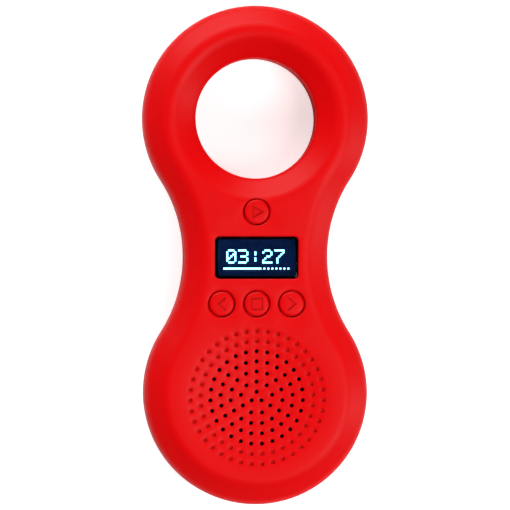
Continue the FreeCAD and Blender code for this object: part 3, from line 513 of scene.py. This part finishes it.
def make_cutter(name, sections):
    """A bar through equal loops of points."""
    cutter = Moulding()
    loops = []
    for section in sections:
        loops.append(list(range(len(cutter.points), len(cutter.points) + len(section))))
        cutter.points += section
    cutter.strips(loops)
    cutter.disc(loops[0])
    cutter.disc(loops[-1])
    return cutter.make_object(name)


def cut_openings(shell, cutters):
    """Cut the bars out of a shell and keep the result as its mesh."""
    for cutter in cutters:
        cut = shell.modifiers.new("opening", "BOOLEAN")
        cut.operation, cut.solver, cut.object = "DIFFERENCE", "EXACT", cutter
    graph = bpy.context.evaluated_depsgraph_get()
    mesh = bpy.data.meshes.new_from_object(shell.evaluated_get(graph))
    shell.modifiers.clear()
    shell.data = mesh
    smooth_shade(mesh)
    print(shell.name, "after its openings", len(mesh.polygons), "faces")


def side_cutter(name, shape, start, end, middle):
    """A bar along X; its section is a list of (y, z) about the middle height."""
    return make_cutter(name, [[(x, y, middle + z) for y, z in shape] for x in (start, end)])


def flared_cutter(name, x, y, radius, rim):
    """An upright round bar that opens out into a rounded rim at the front face."""
    profile = [(radius, ROOF - 3 * WALL)]
    profile += [(radius + rim * (1 - math.cos(t)), THICKNESS - rim * (1 - math.sin(t)))
                for t in quarter_turn(6)]
    profile.append((radius + rim, THICKNESS + WALL))
    return make_cutter(name, [[(px, py, height) for px, py in circle(x, y, reach, 64)]
                              for reach, height in profile])


side_cutters = [
    side_cutter("jack_cutter", circle(0, 0, JACK_OPENING, 40),
                WAIST - 2 * WALL, WAIST + WALL, PARTING),
    side_cutter("usb_cutter", rounded_box(0, 0, USB_WIDTH, USB_HEIGHT, USB_CORNER),
                -WAIST - WALL, 2 * WALL - WAIST, USB_Z)]
play_cutter = flared_cutter("play_cutter", *BUTTONS["play"], CAP_RADIUS + CAP_GAP, BUTTON_RIM)
cut_openings(front_shell, side_cutters + [play_cutter])
cut_openings(rear_shell, side_cutters)
for cutter in side_cutters + [play_cutter]:
    bpy.data.objects.remove(cutter)

# %% [markdown]
# Each button cap is a small round moulding with a softened rim, a flange that keeps it in the
# housing and a stem that meets its switch. Its sign is a fine groove in the top: an arrow to the
# left, a square, an arrow to the right, and a triangle on the upper cap.

# %% button caps
CAP_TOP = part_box("button_stop")[1][2]
FLANGE_TOP, FLANGE_LOW = 21.9 * MM, 21.0 * MM
STEM_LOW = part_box("button_stop")[0][2]
FLANGE_RADIUS, STEM_RADIUS = 4.7 * MM, 1.4 * MM
CAP_ROUND = 0.7 * MM
LINE, ENGRAVED = 0.52 * MM, 0.45 * MM
LONGEST_MITRE = 0.3


def ribbon_shape(points, width):
    """A closed outline of even width along an open line of points."""
    sides = []
    for flip in (1, -1):
        side = []
        for i, point in enumerate(points):
            before = Vector(points[max(i - 1, 0)])
            after = Vector(points[min(i + 1, len(points) - 1)])
            here = Vector(point)
            normals = [Vector((-d.y, d.x)).normalized()
                       for d in (here - before, after - here) if d.length > 0]
            normal = sum(normals, Vector((0, 0))).normalized()
            reach = width / 2 / max(LONGEST_MITRE, normal.dot(normals[0]))
            side.append(tuple(here + normal * reach * flip))
        sides.append(side)
    return sides[0] + sides[1][::-1]


def frame_shape(points, width):
    """A closed outline with an even line: its outer and inner corners."""
    loops = []
    count = len(points)
    for flip in (1, -1):
        loop = []
        for i, point in enumerate(points):
            here = Vector(point)
            before = (here - Vector(points[i - 1])).normalized()
            after = (Vector(points[(i + 1) % count]) - here).normalized()
            normals = [Vector((d.y, -d.x)) for d in (before, after)]
            normal = (normals[0] + normals[1]).normalized()
            loop.append(tuple(here + normal * flip * width / 2 / normal.dot(normals[0])))
        loops.append(loop)
    return loops


ARROW_TALL, ARROW_WIDE, SQUARE = 1.8 * MM, 2.1 * MM, 1.6 * MM
TRIANGLE, TRIANGLE_BACK = 1.6 * MM, 1.05 * MM
SIGNS = {
    "previous": [ribbon_shape([(ARROW_WIDE / 2, ARROW_TALL), (-ARROW_WIDE / 2, 0),
                               (ARROW_WIDE / 2, -ARROW_TALL)], LINE)],
    "next": [ribbon_shape([(-ARROW_WIDE / 2, -ARROW_TALL), (ARROW_WIDE / 2, 0),
                           (-ARROW_WIDE / 2, ARROW_TALL)], LINE)],
    "stop": frame_shape([(-SQUARE, -SQUARE), (SQUARE, -SQUARE), (SQUARE, SQUARE),
                         (-SQUARE, SQUARE)], LINE),
    "play": frame_shape([(-TRIANGLE_BACK, -TRIANGLE), (TRIANGLE, 0),
                         (-TRIANGLE_BACK, TRIANGLE)], LINE),
}


def make_button(name, x, y, sign):
    """A cap from its stem up to the softened rim, with the sign cut into its top."""
    cap = Moulding()
    profile = [(STEM_RADIUS, STEM_LOW), (STEM_RADIUS, FLANGE_LOW), (FLANGE_RADIUS, FLANGE_LOW),
               (FLANGE_RADIUS, FLANGE_TOP), (CAP_RADIUS, FLANGE_TOP)]
    profile += [(CAP_RADIUS - CAP_ROUND * (1 - math.cos(t)),
                 CAP_TOP - CAP_ROUND * (1 - math.sin(t))) for t in quarter_turn(5)]
    loops = [cap.loop(circle(x, y, radius), height) for radius, height in profile]
    cap.strips(loops)
    cap.disc(loops[0])
    moved = [[(x + px, y + py) for px, py in shape] for shape in sign]
    tops = [cap.loop(shape, CAP_TOP) for shape in moved]
    lows = [cap.loop(shape, CAP_TOP - ENGRAVED) for shape in moved]
    for top, low in zip(tops, lows):
        cap.strip(top, low)
    cap.sheet(loops[-1], tops[:1])
    cap.sheet(lows[0], lows[1:])
    if len(tops) > 1:
        cap.sheet(tops[1])
    return cap.finish(f"{name}_cap", f"{name}_button", "red_caps", [f"button_{name}"])


for name, (x, y) in BUTTONS.items():
    make_button(name, x, y, SIGNS[name])

# %% [markdown]
# The window is a dark tinted lens with a polished face and softened rim, a little below the front.
# The display panel lies under it, and its lit dots show a plain track time through the tint.

# %% lens and lit dots
LENS_LOW, LENS_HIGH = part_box("display_lens")[0][2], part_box("display_lens")[1][2]
PANEL_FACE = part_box("oled_panel")[1][2]
LENS_GAP, LENS_RIM = 0.1 * MM, 0.2 * MM
CLEAR_WIDTH, CLEAR_HEIGHT = 22.4 * MM, 10.1 * MM


def make_lens():
    lens = Moulding()
    loops = [lens.loop(window_shape(-LENS_GAP), LENS_LOW)]
    loops += [lens.loop(window_shape(-LENS_GAP - LENS_RIM * (1 - math.cos(t))),
                        LENS_HIGH - LENS_RIM * (1 - math.sin(t))) for t in quarter_turn(4)]
    lens.strips(loops)
    clear = lens.loop(rounded_box(0, WINDOW_Y, CLEAR_WIDTH, CLEAR_HEIGHT, SMALL_CORNER), LENS_LOW)
    lens.sheet(loops[0], [clear])
    lens.disc(clear)
    lens.sheet(loops[-1])
    return lens.finish("display_window", "housing", "dark_lens", ["display_lens"])


def print_border(lens):
    """Give the back of the lens its printed border.

    The clear middle is one face, so its centre tells it from the triangles round it.
    """
    for face in lens.data.polygons:
        across, up = abs(face.center.x), abs(face.center.y - WINDOW_Y)
        middle = across < CLEAR_WIDTH / 4 and up < CLEAR_HEIGHT / 4
        if abs(face.center.z - LENS_LOW) < 0.01 * MM and not middle:
            face.material_index = 1


DIGITS = {
    "0": "01110 10001 10011 10101 11001 10001 01110",
    "2": "01110 10001 00001 00110 01000 10000 11111",
    "3": "11110 00001 00001 01110 00001 00001 11110",
    "7": "11111 00001 00010 00100 01000 01000 01000",
    ":": "00000 00100 00100 00000 00100 00100 00000",
}
DOT_PITCH, DOT, DOT_CORNER, DOT_HEIGHT = 0.60 * MM, 0.52 * MM, 0.06 * MM, 0.02 * MM
TRACK_TIME, TIME_ROW = "03:27", 3.6
BAR_DOTS, BAR_PLAYED, BAR_ROW = 33, 19, -5.4


def add_dot(dots, x, y):
    """One raised dot on the face of the display panel."""
    shape = rounded_box(x, y, DOT, DOT, DOT_CORNER, 2)
    low, high = dots.loop(shape, PANEL_FACE), dots.loop(shape, PANEL_FACE + DOT_HEIGHT)
    dots.strip(low, high)
    dots.disc(high)


def make_lit_dots():
    """The track time, and under it a progress bar that is solid as far as it has played."""
    dots = Moulding()
    width = (6 * len(TRACK_TIME) - 1) * DOT_PITCH
    for place, sign in enumerate(TRACK_TIME):
        for row, line in enumerate(DIGITS[sign].split()):
            for column, lit in enumerate(line):
                if lit == "1":
                    add_dot(dots, (6 * place + column) * DOT_PITCH - width / 2,
                            WINDOW_Y + (TIME_ROW - row) * DOT_PITCH)
    for step in range(BAR_DOTS):
        if step < BAR_PLAYED or step % 2 == 0:
            add_dot(dots, (step - BAR_DOTS // 2) * DOT_PITCH, WINDOW_Y + BAR_ROW * DOT_PITCH)
    return dots.finish("display_dots", "housing", "panel_glass")


lens = make_lens()
lit_dots = make_lit_dots()

# %% [markdown]
# A housing screw has a pan head with a cross recess, deep in its counterbore.

# %% screws
SCREW_HEAD, SCREW_SHANK = 2.1 * MM, 1.0 * MM
RECESS_REACH, RECESS_ARM, RECESS_DEPTH = 0.62, 0.16, 0.7
PAN_ROUND = 0.35


def make_screws(name, node, places, head_low, head_high, head_radius, shank_radius, tip):
    """Screws in one mesh; the recess and the rounded rim are shares of the head's size."""
    screws = Moulding()
    recess, arm = head_radius * RECESS_REACH, head_radius * RECESS_ARM
    cross = [(recess, -arm), (recess, arm), (arm, arm), (arm, recess), (-arm, recess), (-arm, arm),
             (-recess, arm), (-recess, -arm), (-arm, -arm), (-arm, -recess), (arm, -recess),
             (arm, -arm)]
    soft = (head_high - head_low) * PAN_ROUND
    for x, y in places:
        loops = [screws.loop(circle(x, y, head_radius - soft * (1 - math.sin(t)), 32),
                             head_low + soft * (1 - math.cos(t))) for t in quarter_turn(4)]
        loops += [screws.loop(circle(x, y, radius, 32), height) for radius, height in
                  ((head_radius, head_high), (shank_radius, head_high), (shank_radius, tip))]
        screws.strips(loops)
        screws.disc(loops[-1])
        top = screws.loop([(x + px, y + py) for px, py in cross], head_low)
        deep = screws.loop([(x + px * RECESS_DEPTH, y + py * RECESS_DEPTH) for px, py in cross],
                           head_low + (head_high - head_low) * RECESS_DEPTH)
        screws.strip(top, deep)
        screws.disc(deep)
        screws.sheet(loops[0], [top])
    return screws.finish(name, "housing", "steel", [node])


low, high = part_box("shell_screws")
make_screws("housing_screws", "shell_screws", screw_places(), low[2], SCREW_SEAT,
            SCREW_HEAD, SCREW_SHANK, high[2])

# %% [markdown]
# Moulded plastic is never one flat colour: it has a fine grain from its mould, slightly uneven
# gloss, and edges that handling polishes. Two shared node groups give these. The first turns three
# scales of noise into colour, roughness and height; the second finds the edges.

# %% shared surface groups
def add_group(name, inputs, outputs):
    """An empty shader group with named sockets; returns its tree, its input and its output."""
    tree = bpy.data.node_groups.new(name, "ShaderNodeTree")
    for label, kind, value in inputs:
        tree.interface.new_socket(label, in_out="INPUT", socket_type=kind).default_value = value
    for label, kind in outputs:
        tree.interface.new_socket(label, in_out="OUTPUT", socket_type=kind)
    return tree, tree.nodes.new("NodeGroupInput"), tree.nodes.new("NodeGroupOutput")


def math_node(tree, operation, first, second, clamp=False):
    """One sum in a shader; each side is a number or another node's output."""
    node = tree.nodes.new("ShaderNodeMath")
    node.operation, node.use_clamp = operation, clamp
    for socket, value in zip(node.inputs, (first, second)):
        if isinstance(value, (int, float)):
            socket.default_value = value
        else:
            tree.links.new(value, socket)
    return node.outputs[0]


def noise_node(tree, coordinate, scale, detail):
    """Noise from 0 to 1 at a scale that is a number or another node's output."""
    node = tree.nodes.new("ShaderNodeTexNoise")
    node.inputs["Detail"].default_value = detail
    tree.links.new(coordinate, node.inputs["Vector"])
    if isinstance(scale, (int, float)):
        node.inputs["Scale"].default_value = scale
    else:
        tree.links.new(scale, node.inputs["Scale"])
    return node.outputs["Fac"]


FLOAT, COLOUR = "NodeSocketFloat", "NodeSocketColor"
CLOUDS, PATCHES, RUBS, DOTS = 45.0, 260.0, 700.0, 1500.0
FLAT_POINTINESS, EDGE_CONTRAST, POLISH_DROP = 0.505, 12.0, 0.15


def make_grain_group():
    """Mould grain: even fine noise for height, slower noise for colour and gloss."""
    tree, given, result = add_group(
        "mould_grain",
        [("Colour", COLOUR, (0.5, 0.5, 0.5, 1)), ("Shade", FLOAT, 0.06), ("Roughness", FLOAT, 0.4),
         ("Gloss Spread", FLOAT, 0.06), ("Grains per Metre", FLOAT, 3500.0)],
        [("Colour", COLOUR), ("Roughness", FLOAT), ("Height", FLOAT)])
    place = tree.nodes.new("ShaderNodeTexCoord").outputs["Object"]
    fine = noise_node(tree, place, given.outputs["Grains per Metre"], 3.0)
    cloud = noise_node(tree, place, CLOUDS, 4.0)
    patch = noise_node(tree, place, PATCHES, 3.0)
    cloudy = math_node(tree, "SUBTRACT", cloud, 0.5)
    shade = math_node(tree, "MULTIPLY", cloudy, given.outputs["Shade"])
    bright = math_node(tree, "ADD", 1.0, shade)
    tint = tree.nodes.new("ShaderNodeMix")
    tint.data_type, tint.blend_type = "RGBA", "MULTIPLY"
    tint.inputs["Factor"].default_value = 1.0
    grey = tree.nodes.new("ShaderNodeCombineColor")
    for channel in ("Red", "Green", "Blue"):
        tree.links.new(bright, grey.inputs[channel])
    tree.links.new(given.outputs["Colour"], tint.inputs["A"])
    tree.links.new(grey.outputs["Color"], tint.inputs["B"])
    tree.links.new(tint.outputs["Result"], result.inputs["Colour"])
    uneven = math_node(tree, "SUBTRACT", patch, 0.5)
    spread = math_node(tree, "MULTIPLY", uneven, given.outputs["Gloss Spread"])
    rough = math_node(tree, "ADD", given.outputs["Roughness"], spread, True)
    tree.links.new(rough, result.inputs["Roughness"])
    tree.links.new(fine, result.inputs["Height"])
    return tree


def make_wear_group():
    """Edges that hands polish: a mask from the mesh's own convex edges, broken up by noise."""
    tree, given, result = add_group(
        "edge_polish", [("Amount", FLOAT, 0.5), ("Roughness", FLOAT, 0.4)],
        [("Mask", FLOAT), ("Roughness", FLOAT)])
    pointed = tree.nodes.new("ShaderNodeNewGeometry").outputs["Pointiness"]
    place = tree.nodes.new("ShaderNodeTexCoord").outputs["Object"]
    raised = math_node(tree, "SUBTRACT", pointed, FLAT_POINTINESS)
    edge = math_node(tree, "MULTIPLY", raised, EDGE_CONTRAST, True)
    broken = math_node(tree, "MULTIPLY", edge, noise_node(tree, place, RUBS, 4.0))
    mask = math_node(tree, "MULTIPLY", broken, given.outputs["Amount"], True)
    tree.links.new(mask, result.inputs["Mask"])
    drop = math_node(tree, "MULTIPLY", mask, POLISH_DROP)
    smooth = math_node(tree, "SUBTRACT", given.outputs["Roughness"], drop, True)
    tree.links.new(smooth, result.inputs["Roughness"])
    return tree


grain_group, wear_group = make_grain_group(), make_wear_group()

# %% [markdown]
# Each finish is a Principled shader fed by those groups. What is the same all over a finish, such
# as its metal or its coat, is set on the shader itself.

# %% finishes
def new_finish(name):
    """A material with its tree and its Principled shader."""
    material = bpy.data.materials.new(name)
    material.use_nodes = True
    tree = material.node_tree
    return material, tree, tree.nodes["Principled BSDF"]


def make_finish(name, colour, roughness, metallic=0.0, shade=0.06, gloss_spread=0.06,
                grains=3500.0, bump=0.08, depth=0.02 * MM, wear=0.5, **constants):
    """A finish with grain and polished edges; further values go onto the shader's own sockets."""
    material, tree, shader = new_finish(name)
    grain = tree.nodes.new("ShaderNodeGroup")
    grain.node_tree = grain_group
    grain.inputs["Colour"].default_value = (*colour, 1)
    for label, value in (("Shade", shade), ("Roughness", roughness), ("Gloss Spread", gloss_spread),
                         ("Grains per Metre", grains)):
        grain.inputs[label].default_value = value
    polish = tree.nodes.new("ShaderNodeGroup")
    polish.node_tree = wear_group
    polish.inputs["Amount"].default_value = wear
    tree.links.new(grain.outputs["Roughness"], polish.inputs["Roughness"])
    relief = tree.nodes.new("ShaderNodeBump")
    relief.inputs["Strength"].default_value = bump
    relief.inputs["Distance"].default_value = depth
    tree.links.new(grain.outputs["Height"], relief.inputs["Height"])
    tree.links.new(grain.outputs["Colour"], shader.inputs["Base Color"])
    tree.links.new(polish.outputs["Roughness"], shader.inputs["Roughness"])
    tree.links.new(relief.outputs["Normal"], shader.inputs["Normal"])
    shader.inputs["Metallic"].default_value = metallic
    for label, value in constants.items():
        shader.inputs[label.replace("_", " ")].default_value = value
    return material


NAVY = (0.0002, 0.0100, 0.055)
RED = (0.67, 0.0010, 0.0020)
RED_SHEEN, DARK_SHEEN = 0.12, 0.1
finishes = {
    "red_plastic": make_finish("satin_red", RED, 0.42, shade=0.05, grains=2600.0, bump=0.25,
                               depth=0.03 * MM, Specular_IOR_Level=RED_SHEEN),
    "red_caps": make_finish("satin_red_caps", RED, 0.38, shade=0.05, grains=3200.0, bump=0.15,
                            Specular_IOR_Level=RED_SHEEN),
    "white_plastic": make_finish("white_moulding", (0.75, 0.75, 0.72), 0.5),
    "black_plastic": make_finish("black_moulding", (0.02, 0.02, 0.022), 0.45, shade=0.2),
    "black_foam": make_finish("cell_foam", (0.018, 0.018, 0.018), 0.95, shade=0.4,
                              grains=2200.0, bump=0.7, depth=0.1 * MM),
    "amber_film": make_finish("amber_film", (0.45, 0.17, 0.02), 0.25, grains=900.0, bump=0.05),
    "dark_film": make_finish("moulded_membrane", (0.008, 0.008, 0.009), 0.8, shade=0.3,
                             grains=1200.0, Specular_IOR_Level=DARK_SHEEN),
    "green_board": make_finish("solder_mask", (0.012, 0.13, 0.05), 0.3, shade=0.25,
                               grains=1500.0, bump=0.15),
    "ceramic_chip": make_finish("small_ceramic", (0.42, 0.30, 0.17), 0.5, shade=0.2),
    "steel": make_finish("nickel_plate", (0.60, 0.59, 0.57), 0.28, 1.0, grains=1800.0, bump=0.1),
    "magnet": make_finish("plated_magnet", (0.30, 0.30, 0.31), 0.4, 1.0, shade=0.2),
    "copper": make_finish("enamelled_copper", (0.60, 0.24, 0.09), 0.3, 1.0, grains=6000.0,
                          bump=0.5),
    "silver_pouch": make_finish("pouch_film", (0.66, 0.66, 0.67), 0.33, 1.0, grains=700.0,
                                bump=0.3),
    "red_lead": make_finish("red_insulation", (0.55, 0.01, 0.01), 0.45),
    "black_lead": make_finish("black_insulation", (0.015, 0.015, 0.015), 0.45),
    "panel_glass": make_finish("panel_glass", NAVY, 0.3, shade=0.5, gloss_spread=0.02,
                               grains=800.0, bump=0.02, wear=0.0, Specular_IOR_Level=DARK_SHEEN),
}


def make_lens_finish():
    """Clear tinted acrylic that lets the lit dots through."""
    return make_finish("tinted_acrylic", (0.52, 0.88, 1.0), 0.05, gloss_spread=0.03, grains=500.0,
                       bump=0.004, wear=0.2, Transmission_Weight=1.0, IOR=1.16)


def make_dot_finish():
    """Lit display dots: a pale blue-white glow that varies a little from dot to dot."""
    material, tree, shader = new_finish("lit_dots")
    place = tree.nodes.new("ShaderNodeTexCoord").outputs["Object"]
    flicker = noise_node(tree, place, DOTS, 1.0)
    ramp = tree.nodes.new("ShaderNodeValToRGB")
    ramp.color_ramp.elements[0].color = (0.45, 0.80, 1.0, 1)
    ramp.color_ramp.elements[1].color = (0.85, 0.97, 1.0, 1)
    tree.links.new(flicker, ramp.inputs["Fac"])
    tree.links.new(ramp.outputs["Color"], shader.inputs["Emission Color"])
    tree.links.new(ramp.outputs["Color"], shader.inputs["Base Color"])
    shader.inputs["Emission Strength"].default_value = 4.0
    shader.inputs["Roughness"].default_value = 0.4
    return material


finishes["dark_lens"] = make_lens_finish()
lens.data.materials.append(finishes["dark_lens"])
lens.data.materials.append(make_finish("printed_border", NAVY, 0.4, shade=0.4, bump=0.02,
                                       wear=0.0, Specular_IOR_Level=DARK_SHEEN))
print_border(lens)
lit_dots.data.materials.append(make_dot_finish())

print("finishes", len(finishes))

# %% [markdown]
# The record names a material slot for each node, and each finer piece was given its slot when it
# was made. A piece that already has a material, such as the lens, keeps it.

# %% give every piece its finish
slot_of = {part["node"]: part["material_slot"] for part in frame["record"]["subparts"]}
for name, node in nodes.items():
    for index in range(max(1, len(node.material_slots))):
        if index < len(node.material_slots):
            node.material_slots[index].material = finishes[slot_of[name]]
        else:
            node.data.materials.append(finishes[slot_of[name]])
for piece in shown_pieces():
    if not piece.data.materials and "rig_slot" in piece:
        piece.data.materials.append(finishes[piece["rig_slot"]])

# %% [markdown]
# The player lies on its back on a white floor, seen from straight above and a little from the left.
# The floor is a matt pale grey. A glow that only the camera sees makes it look white there, and it
# is weak enough to keep a faint shadow.

# %% floor
FLOOR_SIDE, FLOOR_DROP, FLOOR_GREY, FLOOR_GLOW = 3.0, 0.1 * MM, 0.80, 0.64


def make_floor():
    """A wide square a little below the player's back."""
    mesh = bpy.data.meshes.new("floor")
    corners = [(x * FLOOR_SIDE, y * FLOOR_SIDE, 0) for x, y in ((-1, -1), (1, -1), (1, 1), (-1, 1))]
    mesh.from_pydata(corners, [], [(0, 1, 2, 3)])
    floor = bpy.data.objects.new("floor", mesh)
    bpy.context.collection.objects.link(floor)
    material, tree, shader = new_finish("pale_floor")
    shader.inputs["Base Color"].default_value = (FLOOR_GREY, FLOOR_GREY, FLOOR_GREY, 1)
    shader.inputs["Roughness"].default_value = 0.9
    shader.inputs["Specular IOR Level"].default_value = 0.1
    shader.inputs["Emission Color"].default_value = (1, 1, 1, 1)
    seen = tree.nodes.new("ShaderNodeLightPath").outputs["Is Camera Ray"]
    glow = math_node(tree, "MULTIPLY", seen, FLOOR_GLOW)
    tree.links.new(glow, shader.inputs["Emission Strength"])
    mesh.materials.append(material)
    floor.location.z = -FLOOR_DROP
    print("floor", 2 * FLOOR_SIDE, "m wide")


make_floor()

# %% [markdown]
# A broad soft lamp at the top lights the upper edges, a narrow one stands on the right, and the
# left stays darker, so the bevels read. A low lamp lifts the lower edges. It is kept out of
# reflections, because the lens and the satin face would show it as a pale patch. All lamps aim at
# the middle of the player, moved a little to the right, as the camera does.

# %% lamps
TARGET = Vector((0.1 * MM, 0, THICKNESS / 2))


def add_lamp(name, place, size, power):
    """A rectangular lamp, in metres and watts, that faces the player."""
    light = bpy.data.lights.new(name, "AREA")
    light.shape = "RECTANGLE"
    light.size, light.size_y = size
    light.energy = power
    lamp = bpy.data.objects.new(name, light)
    bpy.context.collection.objects.link(lamp)
    lamp.location = place
    lamp.rotation_euler = (TARGET - Vector(place)).to_track_quat("-Z", "Y").to_euler()
    return lamp


add_lamp("top_softbox", (-0.25, 0.95, 0.60), (1.1, 0.5), 11.0)
add_lamp("top_edge", (-0.40, 1.00, 0.25), (1.0, 0.2), 3.0)
add_lamp("right_strip", (0.55, -0.30, 1.05), (0.14, 0.8), 6.8)
add_lamp("right_edge", (0.95, -0.20, 0.22), (0.2, 0.8), 3.0)
low_fill = add_lamp("low_fill", (-0.10, -0.95, 0.75), (0.7, 0.4), 6.6)
low_fill.visible_glossy = False

world = bpy.data.worlds.new("studio")
bpy.context.scene.world = world
world.use_nodes = True
ROOM_LIGHT = 0.10
sky = world.node_tree
backdrop = sky.nodes["Background"]
backdrop.inputs["Color"].default_value = (1, 1, 1, 1)
seen = sky.nodes.new("ShaderNodeLightPath").outputs["Is Camera Ray"]
sky.links.new(math_node(sky, "MAXIMUM", seen, ROOM_LIGHT), backdrop.inputs["Strength"])
bpy.context.scene.view_settings.view_transform = "Standard"
print("lamps", len(bpy.data.lights))

# %% [markdown]
# The camera stands far above the player, so its edges are nearly square to the view. Its lens
# follows from the distance and from the size of one picture point at the player's middle.

# %% camera
IMAGE_WIDTH = 510
MM_PER_PIXEL = 0.3012
CAMERA_DISTANCE = 1.30
CAMERA_YAW = math.radians(3.0)
camera_data = bpy.data.cameras.new("camera")
camera = bpy.data.objects.new("camera", camera_data)
bpy.context.collection.objects.link(camera)
towards = Vector((-math.sin(CAMERA_YAW), 0, math.cos(CAMERA_YAW)))
camera.location = TARGET + CAMERA_DISTANCE * towards
camera.rotation_euler = (0, -CAMERA_YAW, 0)
camera_data.sensor_width = 36.0
camera_data.lens = camera_data.sensor_width * CAMERA_DISTANCE / (IMAGE_WIDTH * MM_PER_PIXEL * MM)
camera_data.clip_start, camera_data.clip_end = 0.05, 20.0
bpy.context.scene.camera = camera
print("lens", round(camera_data.lens), "mm")
